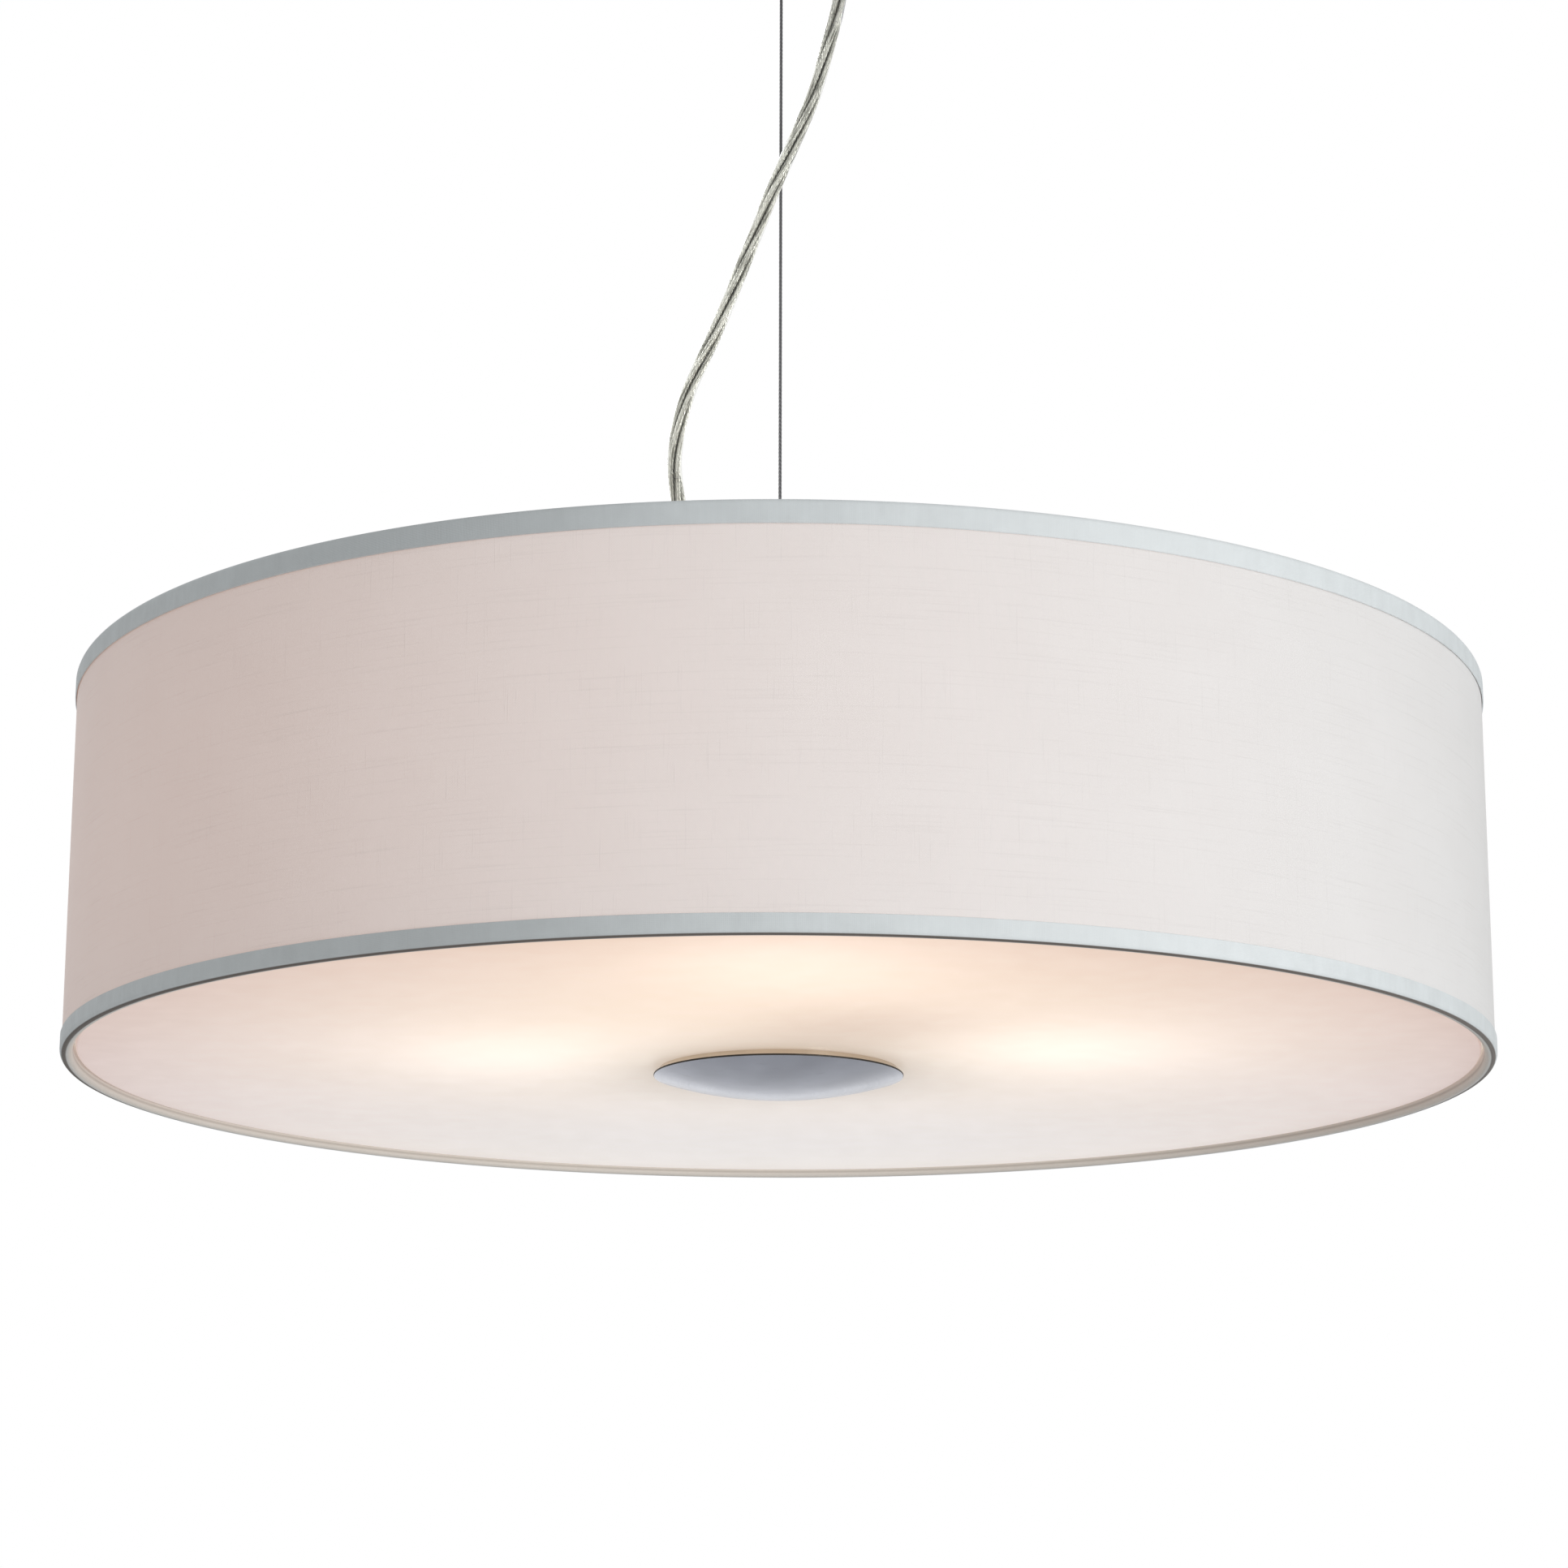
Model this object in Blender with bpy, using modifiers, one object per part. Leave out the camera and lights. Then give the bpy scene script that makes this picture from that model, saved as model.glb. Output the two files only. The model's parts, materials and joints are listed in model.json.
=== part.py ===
"""A drum pendant light on one steel wire, modelled as its separate pieces.

Metres, +Z up. The origin is the middle of the ceiling strap's upper face, where it meets
the ceiling, and everything hangs below it. The wire's ball end is the pivot that the lamp
swings on, and the bulbs lie level, a third of a turn apart.
"""
import math

import bmesh
import bpy
from mathutils import Vector

# Clearances and how finely round pieces are cut
GAP = 0.0003
CUT_OVERRUN = 0.002
MERGE = 0.00001
DRUM_SIDES = 60
DISC_SIDES = 40
HUB_SIDES = 28
SOCKET_SIDES = 16
FITTING_SIDES = 12
RING_SIDES = 6
BEND_STEPS = 2

# How low the lamp hangs
DROP = 0.522

# Ceiling strap, with its screw slots and its earth terminal
STRAP_LENGTH = 0.100
STRAP_WIDTH = 0.022
STRAP_THICKNESS = 0.002
SLOT_LENGTH = 0.018
SLOT_WIDTH = 0.005
SLOT_PLACE = 0.038
EARTH_SCREW_PLACE = 0.018
EARTH_SCREW_THREAD = 0.004
EARTH_SCREW_HEAD = 0.0072
EARTH_SCREW_HEAD_HEIGHT = 0.0025
TERMINAL_LENGTH = 0.020
TERMINAL_WIDTH = 0.020
TERMINAL_HEIGHT = 0.013
TERMINAL_PLACE = 0.018
TERMINAL_HOLE = 0.0032
TERMINAL_PITCH = 0.010

# Canopy and what hangs from it
CANOPY_DIAMETER = 0.120
CANOPY_HEIGHT = 0.030
CANOPY_WALL = 0.001
CANOPY_BEND = 0.006
STUD_DIAMETER = 0.010
HOLDER_WALL = 0.0027
HOLDER_LENGTH = 0.0277
HOLDER_CHAMFER = 0.002
SEAT_HEIGHT = 0.006
SEAT_HOLE = 0.0038
SEAT_HEADROOM = 0.0015
MOUTH_ANGLE = math.radians(32)
BALL_DIAMETER = 0.005
NUT_WIDTH = 0.0155
NUT_HEIGHT = 0.005

# Wire, cord and the leads in the canopy
WIRE_DIAMETER = 0.0013
WIRE_TAIL = 0.033
CORD_DIAMETER = 0.006
CORD_SPACING = 0.014
LEAD_DIAMETER = 0.0024
LEAD_SPACING = 0.004
ROUTE_STEPS = 40

# The cord's route, from its grip on the lamp to its grip on the canopy
CORD_ROUTE = (
    (-0.0200, 0.0000, -0.3909), (-0.0201, 0.0000, -0.3820), (-0.0214, -0.0004, -0.3700),
    (-0.0256, -0.0014, -0.3500), (-0.0312, -0.0023, -0.3290), (-0.0366, -0.0032, -0.3080),
    (-0.0410, -0.0040, -0.2882), (-0.0423, -0.0045, -0.2683), (-0.0372, -0.0050, -0.2442),
    (-0.0269, -0.0055, -0.2198), (-0.0187, -0.0060, -0.1988), (-0.0089, -0.0063, -0.1724),
    (-0.0030, -0.0063, -0.1564), (0.0043, -0.0060, -0.1386), (0.0126, -0.0050, -0.1171),
    (0.0176, -0.0040, -0.0991), (0.0220, -0.0026, -0.0810), (0.0240, -0.0016, -0.0701),
    (0.0257, -0.0004, -0.0590), (0.0260, 0.0000, -0.0495),
)
LIVE_ROUTE = (
    (0.0260, -0.0028, -0.0247), (0.0256, -0.0031, -0.0195), (0.0205, -0.0068, -0.0135),
    (0.0110, -0.0095, -0.0105), (0.0020, -0.0092, -0.0091), (-0.0045, -0.0064, -0.0088),
    (-0.0077, -0.0050, -0.0088),
)
NEUTRAL_ROUTE = tuple((x, -y, z) for x, y, z in LIVE_ROUTE)
EARTH_ROUTE = (
    (0.0260, 0.0000, -0.0247), (0.0261, 0.0000, -0.0190), (0.0236, 0.0000, -0.0135),
    (0.0193, 0.0000, -0.0105), (0.0180, 0.0000, -0.0075), (0.0180, 0.0000, -0.0053),
)

# Cord grips, one on the canopy and one on the hub
GRIP_LENGTH = 0.022
GRIP_FLANGE = 0.015
GRIP_FLANGE_HEIGHT = 0.002
GRIP_BASE = 0.0118
GRIP_TIP = 0.0092
GRIP_STUB = 0.009
GRIP_STUB_RISE = 0.0040
GRIP_MOUTH_DEPTH = 0.003
GRIP_MOUTH_SLACK = 0.0007
GRIP_NUT_WIDTH = 0.0145
GRIP_NUT_HEIGHT = 0.003
TOP_GRIP_PLACE = 0.026
LOWER_GRIP_INSET = 0.010

# Wire gripper on top of the lamp
GRIPPER_WALL = 0.0017
GRIPPER_HEIGHT = 0.027
GRIPPER_SOCKET = 0.008
GRIPPER_FLOOR = 0.0025
GRIPPER_LIP = 0.002
GRIPPER_CHAMFER = 0.001
WIRE_HOLE = 0.002
PLUNGER_DIAMETER = 0.007
PLUNGER_COLLAR = 0.0086
PLUNGER_COLLAR_HEIGHT = 0.002
PLUNGER_REACH = 0.007
SPRING_WIRE = 0.0008
SPRING_TURNS = 5
SPRING_TURN_POINTS = 8

# Centre tube and the hub that it runs through
TUBE_DIAMETER = 0.010
TUBE_WALL = 0.001
TUBE_TIP = 0.005
HUB_DIAMETER = 0.060
HUB_HEIGHT = 0.044
HUB_WALL = 0.0012
HUB_BEND = 0.003
HUB_COVER = 0.0015
BULB_LEVEL = 0.088

# Spider that carries the shade
SPIDER_CLEARANCE = 0.0011
SPIDER_THICKNESS = 0.002
SPOKE_WIRE = 0.003
NOTCH_SLACK = 0.0008

# Lampholders and bulbs, along an axis that starts at the lamp's middle
BULB_ANGLES = (math.radians(-90), math.radians(30), math.radians(150))
SOCKET_DIAMETER = 0.039
SOCKET_LENGTH = 0.042
SOCKET_NECK = 0.026
SOCKET_NECK_LENGTH = 0.006
SOCKET_TAPER = 0.010
SOCKET_FLOOR = 0.008
SOCKET_STUB = 0.0094
SOCKET_STUB_LENGTH = 0.0073
LEAD_HOLE = 0.006
SHELL_WALL = 0.0006
SHELL_LENGTH = 0.026
CONTACT_DIAMETER = 0.009
CONTACT_THICKNESS = 0.0008
CONTACT_PIP = 0.004
HOLDER_NUT_WIDTH = 0.015
HOLDER_NUT_HEIGHT = 0.0035
CAP_DIAMETER = 0.0262
CAP_LENGTH = 0.025
CAP_TIP_DIAMETER = 0.009
CAP_TIP_LENGTH = 0.0015
CAP_CONE_LENGTH = 0.004
CAP_CLEARANCE = 0.0025
BULB_DIAMETER = 0.060
BULB_GLASS = 0.0008
NECK_LENGTH = 0.030
NECK_STEP = 0.0002
BALL_START = math.radians(-45)
BALL_STEPS = 5
NECK_OUTLINE_SHARES = ((0.0, 0.0), (0.26, 0.07), (0.60, 0.36))

# Fabric shade, its hems and the wire rings in them
SHADE_DIAMETER = 0.550
SHADE_HEIGHT = 0.147
SHADE_WALL = 0.0008
TRIM_CLOTH = 0.0004
TOP_TRIM_HEIGHT = 0.0087
BOTTOM_TRIM_HEIGHT = 0.0071
HEM_BEND = 0.0012
RING_WIRE = 0.0024

# Diffuser and the finial that holds it up
DIFFUSER_RECESS = 0.003
DIFFUSER_THICKNESS = 0.003
DIFFUSER_EDGE_GAP = 0.001
DIFFUSER_BEND = 0.0006
DIFFUSER_HOLE_SLACK = 0.0005
WASHER_DIAMETER = 0.030
WASHER_THICKNESS = 0.0015
FINIAL_DIAMETER = 0.097
FINIAL_WALL = 0.001
FINIAL_RIM = 0.0015
FINIAL_DEPTH = 0.0086
FINIAL_STEPS = 6
FINIAL_INNER_STEPS = 3
INSERT_WALL = 0.003

# Levels and radii that follow from the sizes
canopy_floor = -CANOPY_HEIGHT
pivot_level = canopy_floor - GAP - HOLDER_LENGTH + SEAT_HEIGHT
shade_bottom = -DROP
shade_top = shade_bottom + SHADE_HEIGHT
shade_radius = SHADE_DIAMETER / 2
wall_outer = shade_radius - TRIM_CLOTH - GAP
wall_inner = wall_outer - SHADE_WALL
ring_radius = wall_inner - GAP - RING_WIRE / 2
hem_inner = ring_radius - RING_WIRE / 2 - GAP - TRIM_CLOTH
ring_inset = TRIM_CLOTH + GAP + RING_WIRE / 2
tube_radius = TUBE_DIAMETER / 2
tube_bore = tube_radius + GAP
diffuser_underside = shade_bottom + DIFFUSER_RECESS
diffuser_top = diffuser_underside + DIFFUSER_THICKNESS
hub_level = shade_bottom + BULB_LEVEL
hub_bottom = hub_level - HUB_HEIGHT / 2
hub_top = hub_level + HUB_HEIGHT / 2
cover_bottom = hub_top + GAP
cover_top = cover_bottom + HUB_COVER
lower_grip_place = LOWER_GRIP_INSET - HUB_DIAMETER / 2
spider_radius = -lower_grip_place - GRIP_BASE / 2 - SPIDER_CLEARANCE
hub_nut_bottom = cover_top + GAP
spider_bottom = hub_nut_bottom + NUT_HEIGHT + GAP
spider_middle = spider_bottom + SPIDER_THICKNESS / 2
spider_nut_bottom = spider_bottom + SPIDER_THICKNESS + GAP
gripper_bottom = spider_nut_bottom + NUT_HEIGHT + GAP
tube_top = gripper_bottom + GRIPPER_SOCKET - GAP
tube_bottom = shade_bottom - TUBE_TIP
socket_base = HUB_DIAMETER / 2 + GAP
socket_mouth = socket_base + SOCKET_LENGTH
socket_floor = socket_base + SOCKET_FLOOR
cap_radius = CAP_DIAMETER / 2
shell_inner = cap_radius + GAP
shell_outer = shell_inner + SHELL_WALL
chamber_radius = shell_outer + GAP
cap_start = socket_floor + CAP_CLEARANCE
cap_end = cap_start + CAP_LENGTH


def clear_scene():
    """Remove the objects of the open file."""
    for thing in list(bpy.data.objects):
        bpy.data.objects.remove(thing)


def collection(name):
    """A new collection in the scene."""
    made = bpy.data.collections.new(name)
    bpy.context.scene.collection.children.link(made)
    return made


def finish(name, colour, roughness, metallic=0.0, transmission=0.0):
    """A plain material for the parts made of one stuff."""
    made = bpy.data.materials.new(name)
    made.use_nodes = True
    shader = made.node_tree.nodes["Principled BSDF"]
    shader.inputs["Base Color"].default_value = (*colour, 1.0)
    shader.inputs["Roughness"].default_value = roughness
    shader.inputs["Metallic"].default_value = metallic
    shader.inputs["Transmission Weight"].default_value = transmission
    made.diffuse_color = (*colour, 1.0)
    return made


def own_finish(thing, pattern):
    """Give an object its own copy of a material, named for the object."""
    made = pattern.copy()
    made.name = thing.name
    thing.data.materials.append(made)


def hang(thing, parent, place=(0, 0, 0), turn=(0, 0, 0)):
    """Put an object in its parent's frame."""
    thing.parent = parent
    thing.location = place
    thing.rotation_euler = turn
    return thing


def pivot(name, place, turn=(0, 0, 0), parent=None):
    """An empty that pieces hang from, on the axis that they move about."""
    made = bpy.data.objects.new(name, None)
    parts.objects.link(made)
    return hang(made, parent, place, turn)


def mesh_object(name, shape, stuff=None):
    """An object from a bmesh, among the parts, or among the cutters if it has no material."""
    data = bpy.data.meshes.new(name)
    shape.to_mesh(data)
    shape.free()
    made = bpy.data.objects.new(name, data)
    if stuff:
        parts.objects.link(made)
        own_finish(made, stuff)
    else:
        cutters.objects.link(made)
        made.hide_render = True
        made.display_type = "WIRE"
    return made


def shade_smooth(thing, angle=math.radians(35)):
    """Shade a round piece smooth, with its corners kept sharp."""
    thing.data.shade_smooth()
    thing.data.set_sharp_from_angle(angle=angle)


def turned(name, outline, sides, stuff=None):
    """A piece turned about Z from (radius, height) points, down its outer side first.

    An outline that starts and ends on the axis is left open, and any other is closed.
    """
    shape = bmesh.new()
    points = [shape.verts.new((radius, 0, height)) for radius, height in outline]
    for one, other in zip(points, points[1:]):
        shape.edges.new((one, other))
    if outline[0][0] or outline[-1][0]:
        shape.edges.new((points[-1], points[0]))
    made = mesh_object(name, shape, stuff)
    screw = made.modifiers.new("turned", "SCREW")
    screw.axis = "Z"
    screw.steps = sides
    screw.render_steps = sides
    screw.use_merge_vertices = True
    screw.merge_threshold = MERGE
    screw.use_smooth_shade = True
    return made


def rod(name, diameter, length, sides, stuff=None):
    """A round bar along Z, from the origin up."""
    shape = bmesh.new()
    radius = diameter / 2
    bmesh.ops.create_cone(
        shape, cap_ends=True, segments=sides, radius1=radius, radius2=radius, depth=length
    )
    bmesh.ops.translate(shape, verts=shape.verts, vec=(0, 0, length / 2))
    made = mesh_object(name, shape, stuff)
    shade_smooth(made)
    return made


def block(name, length, width, height, stuff=None):
    """A box with its middle at the origin."""
    shape = bmesh.new()
    bmesh.ops.create_cube(shape, size=1)
    bmesh.ops.scale(shape, verts=shape.verts, vec=(length, width, height))
    return mesh_object(name, shape, stuff)


def ball(name, diameter, stuff):
    """A sphere with its middle at the origin."""
    shape = bmesh.new()
    bmesh.ops.create_uvsphere(
        shape, u_segments=FITTING_SIDES, v_segments=FITTING_SIDES // 2, radius=diameter / 2
    )
    made = mesh_object(name, shape, stuff)
    shade_smooth(made)
    return made


def carve(piece, *tools):
    """Cut tools out of a piece. Each tool hangs from the piece's own parent."""
    for tool in tools:
        cut = piece.modifiers.new(tool.name, "BOOLEAN")
        cut.operation = "DIFFERENCE"
        cut.solver = "EXACT"
        cut.object = tool


def nut(name, width, height, thread, parent, place):
    """A hexagon nut round a thread, on its lower face's middle."""
    made = hang(rod(name, width, height, 6, steel), parent, place)
    bore = rod(f"{name}_bore", thread + 2 * GAP, height + 2 * CUT_OVERRUN, FITTING_SIDES)
    hang(bore, parent, Vector(place) - Vector((0, 0, CUT_OVERRUN)))
    carve(made, bore)
    made.data.shade_flat()
    return made


def smooth_route(points, spacing):
    """Points evenly spaced on a smooth curve through a route's own points."""
    knots = [Vector(p) for p in points]
    knots = [2 * knots[0] - knots[1], *knots, 2 * knots[-1] - knots[-2]]
    fine = []
    for before, start, end, after in zip(knots, knots[1:], knots[2:], knots[3:]):
        for step in range(ROUTE_STEPS):
            t = step / ROUTE_STEPS
            leave, arrive = (end - before) / 2, (after - start) / 2
            fine.append(
                start * (2 * t**3 - 3 * t**2 + 1)
                + end * (3 * t**2 - 2 * t**3)
                + leave * (t**3 - 2 * t**2 + t)
                + arrive * (t**3 - t**2)
            )
    fine.append(knots[-2])
    along = [0.0]
    for one, other in zip(fine, fine[1:]):
        along.append(along[-1] + (other - one).length)
    count = max(2, round(along[-1] / spacing))
    even, at = [], 0
    for number in range(count + 1):
        wanted = along[-1] * number / count
        while at < len(fine) - 2 and along[at + 1] < wanted:
            at += 1
        share = (wanted - along[at]) / (along[at + 1] - along[at])
        even.append(fine[at].lerp(fine[at + 1], share))
    return even


def round_wire(name, points, diameter, stuff, parent, resolution=2):
    """A round bar, wire or cord along points, with closed ends."""
    data = bpy.data.curves.new(name, "CURVE")
    data.dimensions = "3D"
    data.bevel_depth = diameter / 2
    data.bevel_resolution = resolution
    data.use_fill_caps = True
    line = data.splines.new("POLY")
    line.points.add(len(points) - 1)
    for point, place in zip(line.points, points):
        point.co = (*place, 1.0)
    line.use_smooth = True
    made = bpy.data.objects.new(name, data)
    parts.objects.link(made)
    own_finish(made, stuff)
    return hang(made, parent)


def arc(radius, middle, start, end, steps):
    """Points of (radius, height) on an arc about a middle point."""
    for step in range(steps + 1):
        angle = start + (end - start) * step / steps
        yield middle[0] + radius * math.cos(angle), middle[1] + radius * math.sin(angle)


def build_strap():
    """The steel strap that screws to the ceiling, its stud and its two terminals."""
    strap = hang(
        block("ceiling_strap", STRAP_LENGTH, STRAP_WIDTH, STRAP_THICKNESS, zinc),
        ceiling,
        (0, 0, -STRAP_THICKNESS / 2),
    )
    depth = STRAP_THICKNESS + 2 * CUT_OVERRUN
    for side in (-1, 1):
        slot = block(f"slot_{side}", SLOT_LENGTH, SLOT_WIDTH, depth)
        carve(strap, hang(slot, ceiling, (side * SLOT_PLACE, 0, -STRAP_THICKNESS / 2)))
    under = -STRAP_THICKNESS - GAP
    hole = rod("earth_screw_hole", EARTH_SCREW_THREAD + 2 * GAP, depth, FITTING_SIDES)
    carve(strap, hang(hole, ceiling, (EARTH_SCREW_PLACE, 0, under - CUT_OVERRUN)))
    head, thread = EARTH_SCREW_HEAD / 2, EARTH_SCREW_THREAD / 2
    screw = turned(
        "earth_screw",
        (
            (0, STRAP_THICKNESS),
            (thread, STRAP_THICKNESS),
            (thread, 0),
            (head, 0),
            (head, -EARTH_SCREW_HEAD_HEIGHT),
            (0, -EARTH_SCREW_HEAD_HEIGHT),
        ),
        FITTING_SIDES,
        brass,
    )
    hang(screw, ceiling, (EARTH_SCREW_PLACE, 0, under))
    stud_end = pivot_level + BALL_DIAMETER / 2 + SEAT_HEADROOM + GAP
    stud = rod("hanger_stud", STUD_DIAMETER, under - stud_end, FITTING_SIDES, zinc)
    hang(stud, ceiling, (0, 0, stud_end))
    middle = (-TERMINAL_PLACE, 0, under - TERMINAL_HEIGHT / 2)
    terminal = block(
        "terminal_block", TERMINAL_LENGTH, TERMINAL_WIDTH, TERMINAL_HEIGHT, white_plastic
    )
    hang(terminal, ceiling, middle)
    for side in (-1, 1):
        way = rod(
            f"terminal_way_{side}",
            TERMINAL_HOLE,
            TERMINAL_LENGTH + 2 * CUT_OVERRUN,
            FITTING_SIDES // 2,
        )
        start = middle[0] - TERMINAL_LENGTH / 2 - CUT_OVERRUN
        place = (start, side * TERMINAL_PITCH / 2, middle[2])
        carve(terminal, hang(way, ceiling, place, (0, math.pi / 2, 0)))


def build_canopy():
    """The metal cup over the strap, with holes for the stud and for the cord's grip."""
    radius, hole = CANOPY_DIAMETER / 2, STUD_DIAMETER / 2 + GAP
    bend = (radius - CANOPY_BEND, canopy_floor + CANOPY_BEND)
    outline = [(radius, -GAP)]
    outline += arc(CANOPY_BEND, bend, 0, -math.pi / 2, BEND_STEPS)
    outline += [(hole, canopy_floor), (hole, canopy_floor + CANOPY_WALL)]
    outline += arc(CANOPY_BEND - CANOPY_WALL, bend, -math.pi / 2, 0, BEND_STEPS)
    outline += [(radius - CANOPY_WALL, -GAP)]
    canopy = hang(turned("canopy", outline, DISC_SIDES, nickel), ceiling)
    opening = rod(
        "top_grip_hole",
        GRIP_STUB + 2 * GAP,
        CANOPY_WALL + 2 * CUT_OVERRUN,
        FITTING_SIDES,
    )
    hang(opening, ceiling, (TOP_GRIP_PLACE, 0, canopy_floor - CUT_OVERRUN))
    carve(canopy, opening)
    nut_level = canopy_floor + CANOPY_WALL + GAP
    nut("canopy_nut", NUT_WIDTH, NUT_HEIGHT, STUD_DIAMETER, ceiling, (0, 0, nut_level))
    cord_grip("top_cord_grip", ceiling, (TOP_GRIP_PLACE, 0, canopy_floor), (0, 0, 0))
    nut(
        "top_grip_nut",
        GRIP_NUT_WIDTH,
        GRIP_NUT_HEIGHT,
        GRIP_STUB,
        ceiling,
        (TOP_GRIP_PLACE, 0, nut_level),
    )


def build_wire_holder():
    """The turned holder under the canopy, which carries the wire's ball in its seat."""
    radius = STUD_DIAMETER / 2 + GAP + HOLDER_WALL
    bottom = -SEAT_HEIGHT
    top = bottom + HOLDER_LENGTH
    seat, hole = BALL_DIAMETER / 2 + GAP, SEAT_HOLE / 2
    lip_angle = -math.acos(hole / seat)
    lip = seat * math.sin(lip_angle)
    mouth = hole + (lip - bottom) * math.tan(MOUTH_ANGLE)
    shoulder = BALL_DIAMETER / 2 + SEAT_HEADROOM
    bore = STUD_DIAMETER / 2 + GAP
    outline = [
        (radius, top),
        (radius, bottom + HOLDER_CHAMFER),
        (radius - HOLDER_CHAMFER, bottom),
        (mouth, bottom),
    ]
    outline += arc(seat, (0, 0), lip_angle, 0, BEND_STEPS)
    outline += [(seat, shoulder), (bore, shoulder), (bore, top)]
    holder = turned("wire_holder", outline, SOCKET_SIDES, nickel)
    hang(holder, ceiling, (0, 0, pivot_level))
    hang(ball("wire_ball", BALL_DIAMETER, steel), swing)


def build_suspension():
    """The steel wire, the cord and the leads that join the cord to the terminals."""
    start = -BALL_DIAMETER / 2 - GAP
    end = gripper_bottom - pivot_level - WIRE_TAIL
    line = ((0, 0, start), (0, 0, end))
    round_wire("suspension_wire", line, WIRE_DIAMETER, steel, swing)
    for name, route, diameter, spacing, stuff in (
        ("cord", CORD_ROUTE, CORD_DIAMETER, CORD_SPACING, clear_plastic),
        ("lead_live", LIVE_ROUTE, LEAD_DIAMETER, LEAD_SPACING, brown_plastic),
        ("lead_neutral", NEUTRAL_ROUTE, LEAD_DIAMETER, LEAD_SPACING, blue_plastic),
        ("lead_earth", EARTH_ROUTE, LEAD_DIAMETER, LEAD_SPACING, green_plastic),
    ):
        round_wire(name, smooth_route(route, spacing), diameter, stuff, ceiling)


def cord_grip(name, parent, place, turn):
    """A tapered strain relief that points down, its flange against the face above it."""
    stub, flange = GRIP_STUB / 2, GRIP_FLANGE / 2
    mouth = CORD_DIAMETER / 2 + GRIP_MOUTH_SLACK
    top = CANOPY_WALL + GRIP_STUB_RISE
    made = turned(
        name,
        (
            (0, top),
            (stub, top),
            (stub, -GAP),
            (flange, -GAP),
            (flange, -GRIP_FLANGE_HEIGHT),
            (GRIP_BASE / 2, -GRIP_FLANGE_HEIGHT),
            (GRIP_TIP / 2, -GRIP_LENGTH),
            (mouth, -GRIP_LENGTH),
            (mouth, GRIP_MOUTH_DEPTH - GRIP_LENGTH),
            (0, GRIP_MOUTH_DEPTH - GRIP_LENGTH),
        ),
        FITTING_SIDES,
        clear_plastic,
    )
    return hang(made, parent, place, turn)


def build_gripper():
    """The cable gripper on top of the lamp: its body, its release plunger and its spring."""
    radius = tube_bore + GRIPPER_WALL
    plunger, collar = PLUNGER_DIAMETER / 2, PLUNGER_COLLAR / 2
    lip = GRIPPER_HEIGHT - GRIPPER_LIP
    floor = GRIPPER_SOCKET + GRIPPER_FLOOR
    outline = (
        (radius - GRIPPER_CHAMFER, GRIPPER_HEIGHT),
        (radius, GRIPPER_HEIGHT - GRIPPER_CHAMFER),
        (radius, 0),
        (tube_bore, 0),
        (tube_bore, GRIPPER_SOCKET),
        (WIRE_HOLE / 2, GRIPPER_SOCKET),
        (WIRE_HOLE / 2, floor),
        (collar + GAP, floor),
        (collar + GAP, lip),
        (plunger + GAP, lip),
        (plunger + GAP, GRIPPER_HEIGHT),
    )
    place = (0, 0, gripper_bottom - pivot_level)
    hang(turned("gripper_body", outline, SOCKET_SIDES, nickel), swing, place)
    collar_top = lip - GAP
    collar_bottom = collar_top - PLUNGER_COLLAR_HEIGHT
    tip = GRIPPER_HEIGHT + PLUNGER_REACH
    outline = (
        (plunger - GRIPPER_CHAMFER / 2, tip),
        (plunger, tip - GRIPPER_CHAMFER / 2),
        (plunger, collar_top),
        (collar, collar_top),
        (collar, collar_bottom),
        (WIRE_HOLE / 2, collar_bottom),
        (WIRE_HOLE / 2, tip),
    )
    hang(turned("gripper_plunger", outline, FITTING_SIDES, nickel), swing, place)
    bottom = floor + GAP + SPRING_WIRE / 2
    rise = collar_bottom - GAP - SPRING_WIRE / 2 - bottom
    coil = collar - SPRING_WIRE
    steps = SPRING_TURNS * SPRING_TURN_POINTS
    turns = []
    for step in range(steps + 1):
        angle = 2 * math.pi * step / SPRING_TURN_POINTS
        level = place[2] + bottom + rise * step / steps
        turns.append((coil * math.cos(angle), coil * math.sin(angle), level))
    round_wire("gripper_spring", turns, SPRING_WIRE, steel, swing, resolution=0)


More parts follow.
